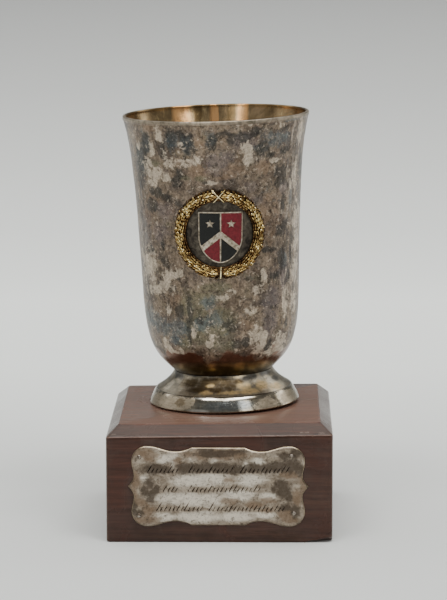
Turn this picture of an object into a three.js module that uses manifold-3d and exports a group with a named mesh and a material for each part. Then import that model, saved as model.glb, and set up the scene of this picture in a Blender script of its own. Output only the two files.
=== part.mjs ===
// Trophy cup: a silver beaker on a flared foot, with an enamelled shield in a gilt laurel wreath,
// standing on a bevelled wooden block that carries a pinned plaque.
// Millimetres, +Z up, front towards -Y. The origin is the middle of the block's underside.

import * as THREE from 'three';
import { mergeVertices } from 'three/addons/utils/BufferGeometryUtils.js';
import { ConvexGeometry } from 'three/addons/geometries/ConvexGeometry.js';
import Module from 'manifold-3d';

const wasm = await Module();
wasm.setup();

// Wooden block. Its top was sawn a little out of level, and one corner is worn away.
const blockWidth = 83;
const blockDepth = 83;
const blockHeight = 43.7;
const blockTopFall = 0.75; // degrees, down towards the left
const bevelWidth = 4.5;
const bevelDrop = 4;
const blockEdgeRadius = 1.3;
const blockFootRounding = 0.5;
const wornCornerAlongFront = 12;
const wornCornerAlongSide = 4.5;
const wornCornerUp = 2.6;

// Where the cup stands on the block, and how it leans
const cupAcross = 1.05;
const cupBack = 6.1;
const cupLean = 1.63; // degrees, the rim towards the left
const restGap = 0.15;
const cupSides = 48;

// Foot: an open ring with a plain band, a small step and a flare up to the bowl
const footRadius = 28.5;
const footEdgeWidth = 1.3;
const footEdgeRounding = 0.35;
const footBandRadius = 26;
const footBandHeight = 5.3;
const footStep = 0.4;
const footStepRise = 0.25;
const neckRadius = 18.7;
const flareStartSlope = 150; // degrees from straight out
const flareEndSlope = 110; // degrees
const footWall = 1.1;
const solderGap = 0.2;

// Bowl: heights are taken from the foot's underside
const cupHeight = 109.45;
const rimRadius = 35;
const rimThickness = 1.6;
const rimBandHeight = 1.7;
const rimBandProud = 0.3;
const rimRounding = 0.4;
const rimSlope = 80; // degrees from straight out
const bellyRadius = 29.55;
const bellyHeight = 43.6;
const bellySlope = 88.2; // degrees
const bowlBaseRadius = 18;
const bowlBaseHeight = 11.6;
const bowlBaseSlope = 48.7; // degrees
const bowlUndersideHeight = 7.8;
const bowlWall = 1;

// Medallion: a thin disc bent round the wall, with the wreath and the shield on it
const medallionHeight = 67.7;
const medallionTurn = 1.5; // degrees round the bowl, to the right
const discRadius = 15.6;
const discThickness = 0.6;
const seatGap = 0.2;
const widestFacet = 4;
const discSides = 28;

// Laurel wreath: two branches that rise from a tie below to crossed stems above
const wreathOuterRadius = 16.6;
const wreathInnerRadius = 11.8;
const wreathBandHeight = 0.9;
const leafRows = [
  { radius: 15.8, splay: -16, rise: 0, length: 4, width: 1.9 },
  { radius: 13.1, splay: 16, rise: 0, length: 3.4, width: 1.7 },
  { radius: 14.5, splay: 0, rise: 0.35, length: 3.8, width: 1.8 },
];
const leavesPerRow = 11;
const tieMargin = 5; // degrees left bare on each side of the tie
const stemMargin = 9; // degrees left bare on each side of the crossed stems
const wreathSides = 40;
const leafBroadest = 0.42; // share of a leaf's length
const leafEdgeHeight = 1.25;
const leafTipLift = 0.15;
const leafStalkDip = 0.5;
const leafRidge = 0.55;
const stemWidth = 0.5;
const stemSpread = 38; // degrees from upright
const tieWidth = 0.7;
const tieRise = 0.5;

// Shield: silver lines and figures stand above enamel cells
const shieldWidth = 15.7;
const shieldHeight = 19;
const shieldStraight = 9.3;
const shieldThickness = 1;
const shieldDrop = 1.2; // from the disc's middle down to the shield's
const shieldAcross = 0.28;
const shieldTilt = -1.7; // degrees
const shieldBorder = 0.7;
const enamelDepth = 0.3;
const chevronPeak = 2.6; // above the shield's middle
const chevronBand = 2.3;
const chevronSlope = 40; // degrees
const partingWidth = 0.55;
const starRadius = 1.75;
const starWaist = 0.42;
const starRaise = 5.1; // above the shield's middle
const starAcross = 3.7;

// Plaque on the front of the block, with its pins
const plaqueWidth = 66;
const plaqueHeight = 30;
const plaqueThickness = 0.9;
const plaqueBevel = 0.35;
const plaqueAcross = -0.4;
const plaqueAbove = 21.2;
const nibReach = 1.3;
const waistInset = 0.9;
const waistHeight = 3.8;
const lobeRadius = 5.6;
const dipAcross = 15.6;
const dipDepth = 2;
const flatAcross = 9.7;
const flatDepth = 0.5;
const engravingDepth = 0.2;
const strokeWidth = 0.4;
const strokeSlant = 28; // degrees from upright
const strokePitch = 2.6;
const strokeHeights = [3.4, 2, 2.2, 3, 1.9];
const inscriptionRows = [
  { baseline: 4, words: [[-26, -15], [-11, 4], [8, 25]] },
  { baseline: -1.9, words: [[-20, -14.5], [-11.5, 15.5]] },
  { baseline: -9.1, words: [[-23, -17], [-14.5, -8], [-4.5, 22]] },
];
const pinCorners = [
  { across: -1, up: 1, fromSide: 4.1, fromEdge: 4 },
  { across: -1, up: -1, fromSide: 4, fromEdge: 4.1 },
  { across: 1, up: 1, fromSide: 6.2, fromEdge: 3.5 },
  { across: 1, up: -1, fromSide: 5.2, fromEdge: 5.1 },
];
const pinHeadRadius = 0.8;
const pinHeadHeight = 0.5;
const pinDimple = 0.15;
const pinDomeShare = 0.6; // of the head's radius that is domed
const pinShankRadius = 0.4;
const pinLength = 8;
const pinPoint = 1.2;
const pinClearance = 0.15;
const pinHeadGap = 0.05;
const pinSides = 8;

const colours = {
  wood: { color: 0x4d322c, roughness: 0.45, metalness: 0 },
  silver: { color: 0x85796d, roughness: 0.38, metalness: 1 },
  brightSilver: { color: 0xa9a498, roughness: 0.25, metalness: 1 },
  darkSilver: { color: 0x3a3935, roughness: 0.5, metalness: 1 },
  gilt: { color: 0xb08a3c, roughness: 0.3, metalness: 1 },
};

const radians = THREE.MathUtils.degToRad;

// Closed meshes and solids
function closedMesh(geometry) {
  const bare = geometry.index ? geometry.toNonIndexed() : geometry.clone();
  for (const name of Object.keys(bare.attributes)) {
    if (name !== 'position') bare.deleteAttribute(name);
  }
  const merged = mergeVertices(bare, 1e-4);
  const corners = [...merged.index.array];
  const kept = [];
  for (let i = 0; i < corners.length; i += 3) {
    const [a, b, c] = corners.slice(i, i + 3);
    if (a !== b && b !== c && c !== a) kept.push(a, b, c);
  }
  merged.setIndex(kept);
  return enclosedVolume(merged) < 0 ? turnedOutward(merged) : merged;
}

function enclosedVolume(geometry) {
  const position = geometry.attributes.position;
  const corners = geometry.index.array;
  const [a, b, c] = [new THREE.Vector3(), new THREE.Vector3(), new THREE.Vector3()];
  let volume = 0;
  for (let i = 0; i < corners.length; i += 3) {
    a.fromBufferAttribute(position, corners[i]);
    b.fromBufferAttribute(position, corners[i + 1]);
    c.fromBufferAttribute(position, corners[i + 2]);
    volume += a.dot(b.cross(c)) / 6;
  }
  return volume;
}

function turnedOutward(geometry) {
  const corners = [...geometry.index.array];
  for (let i = 0; i < corners.length; i += 3) {
    [corners[i + 1], corners[i + 2]] = [corners[i + 2], corners[i + 1]];
  }
  geometry.setIndex(corners);
  return geometry;
}

function toSolid(geometry) {
  const closed = closedMesh(geometry);
  return new wasm.Manifold(new wasm.Mesh({
    numProp: 3,
    vertProperties: new Float32Array(closed.attributes.position.array),
    triVerts: new Uint32Array(closed.index.array),
  }));
}

function toGeometry(solid) {
  const mesh = solid.getMesh();
  const geometry = new THREE.BufferGeometry();
  geometry.setAttribute('position', new THREE.BufferAttribute(mesh.vertProperties, 3));
  geometry.setIndex([...mesh.triVerts]);
  return geometry;
}

function piece(name, geometry, colour) {
  const closed = closedMesh(geometry);
  closed.computeVertexNormals();
  const mesh = new THREE.Mesh(closed, new THREE.MeshStandardMaterial({ ...colour, flatShading: true }));
  mesh.name = name;
  return mesh;
}

// Turned shapes: a profile is a list of (radius, height)
function turned(profile, sides) {
  return new THREE.LatheGeometry(profile, sides).rotateX(Math.PI / 2);
}

function at(radius, height) {
  return new THREE.Vector2(radius, height);
}

function along(point, degrees, distance) {
  const angle = radians(degrees);
  return at(point.x + distance * Math.cos(angle), point.y + distance * Math.sin(angle));
}

// A smooth curve between two points. Each handle is a share of the straight distance between them.
function curve(start, startSlope, startPull, end, endSlope, endPull, steps) {
  const span = start.distanceTo(end);
  const startHandle = along(start, startSlope, startPull * span);
  const endHandle = along(end, endSlope, -endPull * span);
  return new THREE.CubicBezierCurve(start, startHandle, endHandle, end).getPoints(steps);
}

// The same line, moved sideways by a wall's thickness, on the left of its direction
function movedLeft(points, distance) {
  return points.map((point, i) => {
    const before = points[Math.max(i - 1, 0)];
    const after = points[Math.min(i + 1, points.length - 1)];
    const direction = after.clone().sub(before).normalize();
    return at(Math.max(point.x - distance * direction.y, 0), point.y + distance * direction.x);
  });
}

function valueAt(points, key, place, result) {
  const last = points.length - 1;
  let i = 1;
  while (i < last && points[i][key] < place) i += 1;
  const [low, high] = [points[i - 1], points[i]];
  const share = (place - low[key]) / (high[key] - low[key]);
  return low[result] + share * (high[result] - low[result]);
}

// Bowl
const bowlBase = at(bowlBaseRadius, bowlBaseHeight);
const belly = at(bellyRadius, bellyHeight);
const rimFoot = at(rimRadius - rimBandProud, cupHeight - rimBandHeight);
const bowlOutside = [
  ...curve(at(0, bowlUndersideHeight), 0, 0.45, bowlBase, bowlBaseSlope, 0.25, 3),
  ...curve(bowlBase, bowlBaseSlope, 0.26, belly, bellySlope, 0.74, 6).slice(1),
  ...curve(belly, bellySlope, 0.88, rimFoot, rimSlope, 0.1, 7).slice(1),
];

function bowlRadiusAt(height) {
  return valueAt(bowlOutside, 'y', height, 'x');
}

function bowlHeightAt(radius) {
  return valueAt(bowlOutside, 'x', radius, 'y');
}

function bowl() {
  const inside = movedLeft(bowlOutside, bowlWall);
  inside[0].x = 0;
  const rimInside = rimRadius - rimThickness;
  const lip = inside.at(-1).y;
  const rim = [
    at(rimRadius, cupHeight - rimBandHeight + rimRounding),
    at(rimRadius, cupHeight - rimRounding),
    at(rimRadius - rimRounding, cupHeight),
    at(rimInside + rimRounding, cupHeight),
    at(rimInside, cupHeight - rimRounding),
    at(rimInside, lip + rimRounding),
  ];
  const wallInside = inside.reverse().filter((point, i, all) => i % 2 === 0 || i === all.length - 1);
  return piece('bowl', turned([...bowlOutside, ...rim, ...wallInside], cupSides), colours.silver);
}

// Foot
function foot() {
  const bandTop = at(footBandRadius, footBandHeight);
  const step = at(footBandRadius - footStep, footBandHeight + footStepRise);
  const neck = at(neckRadius, bowlHeightAt(neckRadius) - solderGap);
  const flare = curve(step, flareStartSlope, 0.32, neck, flareEndSlope, 0.32, 5);
  const flareInside = movedLeft(flare, footWall).slice(1, -1).reverse();
  const neckInside = neckRadius - footWall;
  const outside = [
    at(footRadius - footEdgeRounding, 0),
    at(footRadius, footEdgeRounding),
    bandTop,
    ...flare,
  ];
  const inside = [
    at(neckInside, bowlHeightAt(neckInside) - solderGap),
    ...flareInside,
    at(footBandRadius - footWall, footBandHeight - footStepRise),
    at(footRadius - footEdgeWidth, 0),
  ];
  return piece('foot', turned([...outside, ...inside, outside[0]], cupSides), colours.brightSilver);
}

// Flat pieces are drawn as across, up and out, then bent round the bowl's wall
const seatLow = bowlRadiusAt(medallionHeight - discRadius);
const seatHigh = bowlRadiusAt(medallionHeight + discRadius);

function straightWall(up) {
  return THREE.MathUtils.mapLinear(up, -discRadius, discRadius, seatLow, seatHigh);
}

function wallBulge() {
  const heights = bowlOutside.map((point) => point.y - medallionHeight);
  const behind = heights.filter((up) => Math.abs(up) < discRadius);
  return Math.max(0, ...behind.map((up) => bowlRadiusAt(medallionHeight + up) - straightWall(up)));
}

const seatOut = seatGap + wallBulge();
const seatRadius = straightWall(0) + seatOut;

function splitAcross(geometry, widest) {
  const closed = closedMesh(geometry);
  const position = closed.attributes.position;
  const points = [];
  for (let i = 0; i < position.count; i += 1) {
    points.push(new THREE.Vector3().fromBufferAttribute(position, i));
  }
  const middles = new Map();
  const middleOf = (a, b) => {
    const key = a < b ? `${a} ${b}` : `${b} ${a}`;
    if (!middles.has(key)) {
      middles.set(key, points.length);
      points.push(points[a].clone().lerp(points[b], 0.5));
    }
    return middles.get(key);
  };
  const across = ([a, b]) => Math.abs(points[a].x - points[b].x);
  const waiting = [];
  for (let i = 0; i < closed.index.count; i += 3) {
    waiting.push([...closed.index.array.slice(i, i + 3)]);
  }
  const done = [];
  while (waiting.length > 0) {
    const [a, b, c] = waiting.pop();
    const edges = [[a, b, c], [b, c, a], [c, a, b]].sort((one, other) => across(other) - across(one));
    const [start, end, corner] = edges[0];
    if (across(edges[0]) <= widest) {
      done.push(a, b, c);
    } else {
      const middle = middleOf(start, end);
      waiting.push([start, middle, corner], [middle, end, corner]);
    }
  }
  const split = new THREE.BufferGeometry().setFromPoints(points);
  split.setIndex(done);
  return split;
}

function bentRoundWall(geometry) {
  const bent = splitAcross(geometry, widestFacet);
  const position = bent.attributes.position;
  for (let i = 0; i < position.count; i += 1) {
    const turn = radians(medallionTurn) + position.getX(i) / seatRadius;
    const radius = straightWall(position.getY(i)) + seatOut + position.getZ(i);
    const height = medallionHeight + position.getY(i);
    position.setXYZ(i, radius * Math.sin(turn), -radius * Math.cos(turn), height);
  }
  return bent;
}

function bar(width, length, low, high) {
  return new THREE.BoxGeometry(width, length, high - low).translate(0, 0, (low + high) / 2);
}

function medallionDisc() {
  const profile = [at(0, 0), at(discRadius, 0), at(discRadius, discThickness), at(0, discThickness)];
  return piece('medallion_disc', bentRoundWall(turned(profile, discSides)), colours.darkSilver);
}

// Laurel wreath
const onDisc = discThickness + seatGap;

function leaf({ length, width, rise }) {
  const side = leafBroadest * length;
  const low = onDisc + wreathBandHeight / 3;
  const edge = onDisc + leafEdgeHeight + rise;
  const outline = [
    [0, 0, -leafStalkDip], [side, width / 2, 0], [length, 0, leafTipLift], [side, -width / 2, 0],
  ];
  const points = outline.flatMap(([x, y, lift]) => [
    new THREE.Vector3(x, y, low),
    new THREE.Vector3(x, y, edge + lift),
  ]);
  points.push(new THREE.Vector3(side, 0, edge + leafRidge));
  return new ConvexGeometry(points).translate(-length / 2, 0, 0);
}

function branch(side) {
  const span = 180 - tieMargin - stemMargin;
  const leaves = [];
  for (const row of leafRows) {
    const halfLeaf = THREE.MathUtils.radToDeg(row.length / 2 / row.radius);
    for (let i = 0; i < leavesPerRow; i += 1) {
      const share = i / (leavesPerRow - 1);
      const turn = tieMargin + halfLeaf + share * (span - 2 * halfLeaf);
      const angle = radians(-90 + side * turn);
      const heading = angle + side * radians(90 + row.splay);
      const shape = leaf(row).rotateZ(heading);
      shape.translate(row.radius * Math.cos(angle), row.radius * Math.sin(angle), 0);
      leaves.push(toSolid(shape));
    }
  }
  return leaves;
}

function laurelWreath() {
  const middle = (wreathInnerRadius + wreathOuterRadius) / 2;
  const reach = wreathOuterRadius - wreathInnerRadius;
  const low = onDisc;
  const band = turned([
    at(wreathInnerRadius, low),
    at(wreathOuterRadius, low),
    at(wreathOuterRadius, low + wreathBandHeight / 2),
    at(middle, low + wreathBandHeight),
    at(wreathInnerRadius, low + wreathBandHeight),
    at(wreathInnerRadius, low),
  ], wreathSides);
  const tieTop = low + leafEdgeHeight + leafRidge + tieRise;
  const within = low + wreathBandHeight / 3;
  const tie = bar(tieWidth, reach, within, tieTop).translate(0, -middle, 0);
  const stems = [-stemSpread, stemSpread].map((spread) => {
    const stem = bar(stemWidth, reach / Math.cos(radians(spread)), within, tieTop);
    return stem.rotateZ(radians(spread)).translate(0, middle, 0);
  });
  const parts = [band, tie, ...stems].map(toSolid);
  const solid = wasm.Manifold.union([...parts, ...branch(-1), ...branch(1)]);
  return piece('laurel_wreath', bentRoundWall(toGeometry(solid)), colours.gilt);
}

// Shield
function shieldShape(inset) {
  const half = shieldWidth / 2 - inset;
  const top = shieldHeight / 2 - inset;
  const shoulder = shieldHeight / 2 - shieldStraight;
  const point = -shieldHeight / 2 + inset;
  const shape = new THREE.Shape();
  shape.moveTo(-half, top);
  shape.lineTo(-half, shoulder);
  shape.bezierCurveTo(-half, shoulder * 0.5 + point * 0.5, -half * 0.5, point, 0, point);
  shape.bezierCurveTo(half * 0.5, point, half, shoulder * 0.5 + point * 0.5, half, shoulder);
  shape.lineTo(half, top);
  return shape;
}

function plate(shape, thickness, low) {
  const options = { depth: thickness, bevelEnabled: false, curveSegments: 7 };
  return toSolid(new THREE.ExtrudeGeometry(shape, options).translate(0, 0, low));
}

function starShape(across, up) {
  const corners = [];
  for (let i = 0; i < 10; i += 1) {
    const radius = i % 2 === 0 ? starRadius : starRadius * starWaist;
    const angle = radians(90 + 36 * i);
    corners.push(at(across + radius * Math.cos(angle), up + radius * Math.sin(angle)));
  }
  return new THREE.Shape(corners);
}

function chevronShape() {
  const half = shieldWidth / 2;
  const fall = half * Math.tan(radians(chevronSlope));
  const band = chevronBand / Math.cos(radians(chevronSlope));
  return new THREE.Shape([
    at(0, chevronPeak),
    at(-half, chevronPeak - fall),
    at(-half, chevronPeak - fall - band),
    at(0, chevronPeak - band),
    at(half, chevronPeak - fall - band),
    at(half, chevronPeak - fall),
  ]);
}

function shield() {
  const floor = shieldThickness - enamelDepth;
  const parting = new THREE.Shape([
    at(-partingWidth / 2, -shieldHeight / 2),
    at(partingWidth / 2, -shieldHeight / 2),
    at(partingWidth / 2, shieldHeight / 2),
    at(-partingWidth / 2, shieldHeight / 2),
  ]);
  const raised = [chevronShape(), parting, starShape(-starAcross, starRaise), starShape(starAcross, starRaise)];
  const enamel = raised.reduce(
    (cells, shape) => cells.subtract(plate(shape, shieldThickness, 0)),
    plate(shieldShape(shieldBorder), shieldThickness, floor),
  );
  const solid = plate(shieldShape(0), shieldThickness, 0).subtract(enamel);
  const flat = toGeometry(solid);
  flat.rotateZ(radians(shieldTilt));
  flat.translate(shieldAcross, -shieldDrop, onDisc);
  return piece('shield', bentRoundWall(flat), colours.brightSilver);
}

// Block
function roundedRectangle(halfWidth, halfDepth, radius, heightAt) {
  const corners = [[1, -1, -90], [1, 1, 0], [-1, 1, 90], [-1, -1, 180]];
  return corners.flatMap(([sideX, sideY, start]) => [0, 30, 60, 90].map((step) => {
    const angle = radians(start + step);
    const x = sideX * (halfWidth - radius) + radius * Math.cos(angle);
    const y = sideY * (halfDepth - radius) + radius * Math.sin(angle);
    return new THREE.Vector3(x, y, heightAt(x));
  }));
}

function loft(rings) {
  const count = rings[0].length;
  const corners = [];
  rings.slice(1).forEach((ring, level) => {
    for (let i = 0; i < count; i += 1) {
      const [low, lowNext] = [level * count + i, level * count + (i + 1) % count];
      const [high, highNext] = [low + count, lowNext + count];
      corners.push(low, lowNext, highNext, low, highNext, high);
    }
  });
  const top = (rings.length - 1) * count;
  for (let i = 1; i < count - 1; i += 1) {
    corners.push(0, i + 1, i, top, top + i, top + i + 1);
  }
  const geometry = new THREE.BufferGeometry().setFromPoints(rings.flat());
  geometry.setIndex(corners);
  return geometry;
}

function blockTopAt(x) {
  return blockHeight + x * Math.tan(radians(blockTopFall));
}

function wornCorner() {
  const corner = new THREE.Vector3(blockWidth / 2, -blockDepth / 2, 0);
  const front = corner.clone().setX(corner.x - wornCornerAlongFront);
  const side = corner.clone().setY(corner.y + wornCornerAlongSide);
  const up = corner.clone().setZ(wornCornerUp);
  const outside = corner.clone().add(new THREE.Vector3(1, -1, -1));
  return toSolid(new ConvexGeometry([front, side, up, outside]));
}

function woodBlock() {
  const [halfWidth, halfDepth] = [blockWidth / 2, blockDepth / 2];
  const level = (inset, heightAt) => roundedRectangle(
    halfWidth - inset, halfDepth - inset, blockEdgeRadius, heightAt,
  );
  const body = loft([
    level(blockFootRounding, () => 0),
    level(0, () => blockFootRounding),
    level(0, (x) => blockTopAt(x) - bevelDrop),
    level(bevelWidth, blockTopAt),
  ]);
  const holes = pinPlaces.map(({ across, above }) => {
    const depth = pinLength + pinClearance;
    const hole = new THREE.CylinderGeometry(pinHoleRadius, pinHoleRadius, depth * 2, pinSides);
    return toSolid(hole.translate(across, -halfDepth, above));
  });
  const cutters = [wornCorner(), ...holes];
  const solid = cutters.reduce((rest, cutter) => rest.subtract(cutter), toSolid(body));
  return piece('wood_block', toGeometry(solid), colours.wood);
}

// Plaque, drawn flat as across, up and out from its middle
const pinHoleRadius = pinShankRadius + pinClearance;
const pinPlaces = pinCorners.map(({ across, up, fromSide, fromEdge }) => ({
  across: plaqueAcross + across * (plaqueWidth / 2 - fromSide),
  above: plaqueAbove + up * (plaqueHeight / 2 - fromEdge),
}));

function plaqueQuarter() {
  const side = plaqueWidth / 2 - nibReach;
  const top = plaqueHeight / 2;
  const nib = at(plaqueWidth / 2, 0);
  const waist = at(side - waistInset, waistHeight);
  const lobeSide = at(side, top - lobeRadius);
  const lobeTop = at(side - lobeRadius, top);
  const dip = at(dipAcross, top - dipDepth);
  const flat = at(flatAcross, top - flatDepth);
  return [
    ...curve(nib, 135, 0.25, waist, 90, 0.35, 4),
    ...curve(waist, 90, 0.35, lobeSide, 90, 0.35, 3).slice(1),
    ...curve(lobeSide, 90, 0.39, lobeTop, 180, 0.39, 5).slice(1),
    ...curve(lobeTop, 180, 0.4, dip, 180, 0.4, 5).slice(1),
    ...curve(dip, 180, 0.4, flat, 155, 0.3, 3).slice(1),
  ];
}

function plaqueShape() {
  const quarter = plaqueQuarter();
  const upperLeft = quarter.map((point) => at(-point.x, point.y)).reverse();
  const lowerLeft = quarter.slice(1).map((point) => at(-point.x, -point.y));
  const lowerRight = quarter.slice(1).map((point) => at(point.x, -point.y)).reverse();
  return new THREE.Shape([...quarter, ...upperLeft, ...lowerLeft, ...lowerRight]);
}

function strokes() {
  const cutters = [];
  for (const { baseline, words } of inscriptionRows) {
    for (const [from, to] of words) {
      const count = Math.floor((to - from) / strokePitch) + 1;
      for (let i = 0; i < count; i += 1) {
        const height = strokeHeights[i % strokeHeights.length];
        const low = plaqueThickness - engravingDepth;
        const cutter = bar(strokeWidth, height, low, plaqueThickness + engravingDepth);
        cutter.rotateZ(-radians(strokeSlant));
        cutter.translate(from + i * strokePitch, baseline + height / 2, 0);
        cutters.push(toSolid(cutter));
      }
    }
  }
  return wasm.Manifold.union(cutters);
}

function plaque() {
  const body = new THREE.ExtrudeGeometry(plaqueShape(), {
    depth: plaqueThickness - 2 * plaqueBevel,
    bevelThickness: plaqueBevel,
    bevelSize: plaqueBevel,
    bevelOffset: -plaqueBevel,
    bevelSegments: 1,
  });
  body.translate(0, 0, plaqueBevel);
  const holes = pinPlaces.map(({ across, above }) => {
    const hole = new THREE.CylinderGeometry(pinHoleRadius, pinHoleRadius, plaqueThickness * 3, pinSides);
    return toSolid(hole.rotateX(Math.PI / 2).translate(across - plaqueAcross, above - plaqueAbove, 0));
  });
  const solid = holes.reduce((rest, hole) => rest.subtract(hole), toSolid(body)).subtract(strokes());
  return piece('plaque', toGeometry(solid), colours.brightSilver);
}

function pin(name, { across, above }) {
  const profile = [
    at(0, -pinLength),
    at(pinShankRadius, -pinLength + pinPoint),
    at(pinShankRadius, plaqueThickness + pinHeadGap),
    at(pinHeadRadius, plaqueThickness + pinHeadGap),
    at(pinHeadRadius * pinDomeShare, plaqueThickness + pinHeadHeight),
    at(0, plaqueThickness + pinHeadHeight - pinDimple),
  ];
  const mesh = piece(name, turned(profile, pinSides), colours.brightSilver);
  mesh.position.set(across - plaqueAcross, above - plaqueAbove, 0);
  return mesh;
}

// The cup's low edge clears the sloping top by the rest gap
const edgeFall = Math.sin(radians(cupLean)) - Math.cos(radians(cupLean)) * Math.tan(radians(blockTopFall));
const cup = new THREE.Group();
cup.add(foot(), bowl(), medallionDisc(), laurelWreath(), shield());
cup.position.set(cupAcross, cupBack, blockTopAt(cupAcross) + footRadius * Math.abs(edgeFall) + restGap);
cup.rotation.y = -radians(cupLean);

const namePlate = new THREE.Group();
namePlate.add(plaque(), ...pinPlaces.map((place, i) => pin(`pin_${i + 1}`, place)));
namePlate.position.set(plaqueAcross, -blockDepth / 2, plaqueAbove);
namePlate.rotation.x = Math.PI / 2;

const trophy = new THREE.Group();
trophy.add(woodBlock(), namePlate, cup);

export default trophy;
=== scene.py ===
import math
import random

import bmesh
import bpy
from mathutils import Matrix, Vector, noise
from mathutils.geometry import delaunay_2d_cdt


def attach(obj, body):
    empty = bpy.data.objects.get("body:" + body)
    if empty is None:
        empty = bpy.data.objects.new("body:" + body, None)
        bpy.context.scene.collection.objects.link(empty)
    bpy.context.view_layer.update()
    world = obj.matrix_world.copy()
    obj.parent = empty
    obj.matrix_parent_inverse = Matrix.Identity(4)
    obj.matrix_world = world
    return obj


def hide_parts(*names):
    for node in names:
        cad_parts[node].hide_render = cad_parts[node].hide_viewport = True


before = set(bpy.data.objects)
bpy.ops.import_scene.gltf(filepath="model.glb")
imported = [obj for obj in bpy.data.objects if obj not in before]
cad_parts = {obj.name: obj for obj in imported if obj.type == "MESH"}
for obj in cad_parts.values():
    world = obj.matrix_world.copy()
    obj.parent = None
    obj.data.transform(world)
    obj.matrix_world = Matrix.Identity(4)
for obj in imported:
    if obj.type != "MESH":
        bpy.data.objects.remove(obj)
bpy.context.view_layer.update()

# Trophy cup: tarnished silver beaker, gilt wreath and enamelled shield, on a mahogany block.
# Lengths are millimetres in the dictionaries and metres in the meshes.
mm = 0.001
print("frame loaded")


# Small tools for every piece

def hexToLinear(text, alpha=1.0):
    channels = [int(text[i:i + 2], 16) / 255 for i in (1, 3, 5)]
    linear = [c / 12.92 if c <= 0.04045 else ((c + 0.055) / 1.055) ** 2.4 for c in channels]
    return (*linear, alpha)


def grey(value):
    return (value, value, value, 1.0)


def newMaterial(name):
    material = bpy.data.materials.new(name)
    material.use_nodes = True
    tree = material.node_tree
    tree.nodes.clear()
    output = tree.nodes.new("ShaderNodeOutputMaterial")
    shader = tree.nodes.new("ShaderNodeBsdfPrincipled")
    tree.links.new(shader.outputs[0], output.inputs[0])
    return material, tree, shader


# Adds a node with its settings and links. "stops" are a ramp's places with hex colours or grey levels.
def addNode(tree, kind, settings=None, links=None):
    node = tree.nodes.new(kind)
    for name, value in (settings or {}).items():
        if name == "stops":
            ramp = node.color_ramp.elements
            while len(ramp) < len(value):
                ramp.new(0.5)
            for element, (place, colour) in zip(ramp, value):
                element.position = place
                element.color = hexToLinear(colour) if isinstance(colour, str) else grey(colour)
        elif isinstance(name, str) and hasattr(node, name):
            setattr(node, name, value)
        else:
            node.inputs[name].default_value = value
    for name, source in (links or {}).items():
        tree.links.new(source, node.inputs[name])
    return node


def mix(low, high, share):
    return low + (high - low) * share


def smoothStep(low, high, value):
    share = min(max((value - low) / (high - low), 0.0), 1.0)
    return share * share * (3 - 2 * share)


def makePiece(name, points, faces, material, replaced=None, smoothAngle=40):
    mesh = bpy.data.meshes.new(name)
    mesh.from_pydata([Vector(p) * mm for p in points], [], faces)
    work = bmesh.new()
    work.from_mesh(mesh)
    bmesh.ops.remove_doubles(work, verts=work.verts, dist=1e-7)
    bmesh.ops.recalc_face_normals(work, faces=work.faces)
    work.to_mesh(mesh)
    work.free()
    mesh.polygons.foreach_set("use_smooth", [True] * len(mesh.polygons))
    mesh.set_sharp_from_angle(angle=math.radians(smoothAngle))
    piece = bpy.data.objects.new(name, mesh)
    bpy.context.scene.collection.objects.link(piece)
    piece.data.materials.append(material)
    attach(piece, "root")
    if replaced:
        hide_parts(replaced)
    return piece


def paint(piece, name, strengthAt):
    attribute = piece.data.attributes.new(name, "FLOAT", "POINT")
    values = [strengthAt(vertex.co / mm) for vertex in piece.data.vertices]
    attribute.data.foreach_set("value", values)


# Lays tarnish films over a colour. Each film: the painted attribute that places it, or None for
# all over, its colour, size of its ragged edge in mm, how ragged, edge softness, how much it covers
# and the level at which it starts.
def layFilms(tree, colour, place, films):
    areas = {}
    for number, (kind, film, size, ragged, softness, cover, level) in enumerate(films):
        torn = addNode(tree, "ShaderNodeTexNoise", {
            "noise_dimensions": "4D", "W": number * 3.7, "Scale": 1000 / size, "Detail": 7.0,
            "Roughness": 0.68, "Distortion": 0.7,
        }, {"Vector": place})
        edge = addNode(tree, "ShaderNodeMath", {
            "operation": "MULTIPLY_ADD", 1: ragged, 2: -0.5 * ragged,
        }, {0: torn.outputs["Fac"]}).outputs[0]
        if kind:
            mask = addNode(tree, "ShaderNodeAttribute", {"attribute_name": kind}).outputs["Fac"]
            edge = addNode(tree, "ShaderNodeMath", {"operation": "ADD"}, {0: edge, 1: mask}).outputs[0]
        area = addNode(tree, "ShaderNodeMapRange", {
            "interpolation_type": "SMOOTHSTEP",
            "From Min": level - softness, "From Max": level + softness, "To Max": cover,
        }, {"Value": edge})
        areas[kind or film] = area.outputs[0]
        colour = addNode(tree, "ShaderNodeMixRGB", {"Color2": hexToLinear(film)}, {
            "Fac": area.outputs[0], "Color1": colour,
        }).outputs["Color"]
    return colour, areas


# Multiplies a colour by the tones that a ramp gives a pattern
def shadedBy(tree, colour, pattern, share, stops):
    tones = addNode(tree, "ShaderNodeValToRGB", {"stops": stops}, {"Fac": pattern})
    return addNode(tree, "ShaderNodeMixRGB", {"blend_type": "MULTIPLY", "Fac": share}, {
        "Color1": colour, "Color2": tones.outputs["Color"],
    }).outputs["Color"]


# Strength 1 in the middle of each spot, 0 at one and a half times its half sizes
def spotStrength(spots, across, up):
    strength = 0.0
    for x, y, wide, tall in spots:
        if abs(up - y) > 1.5 * tall or abs(across - x) > 1.5 * wide:
            continue
        away = math.hypot((across - x) / wide, (up - y) / tall)
        strength = max(strength, min(max(1.5 - away, 0.0), 1.0))
    return strength


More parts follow.
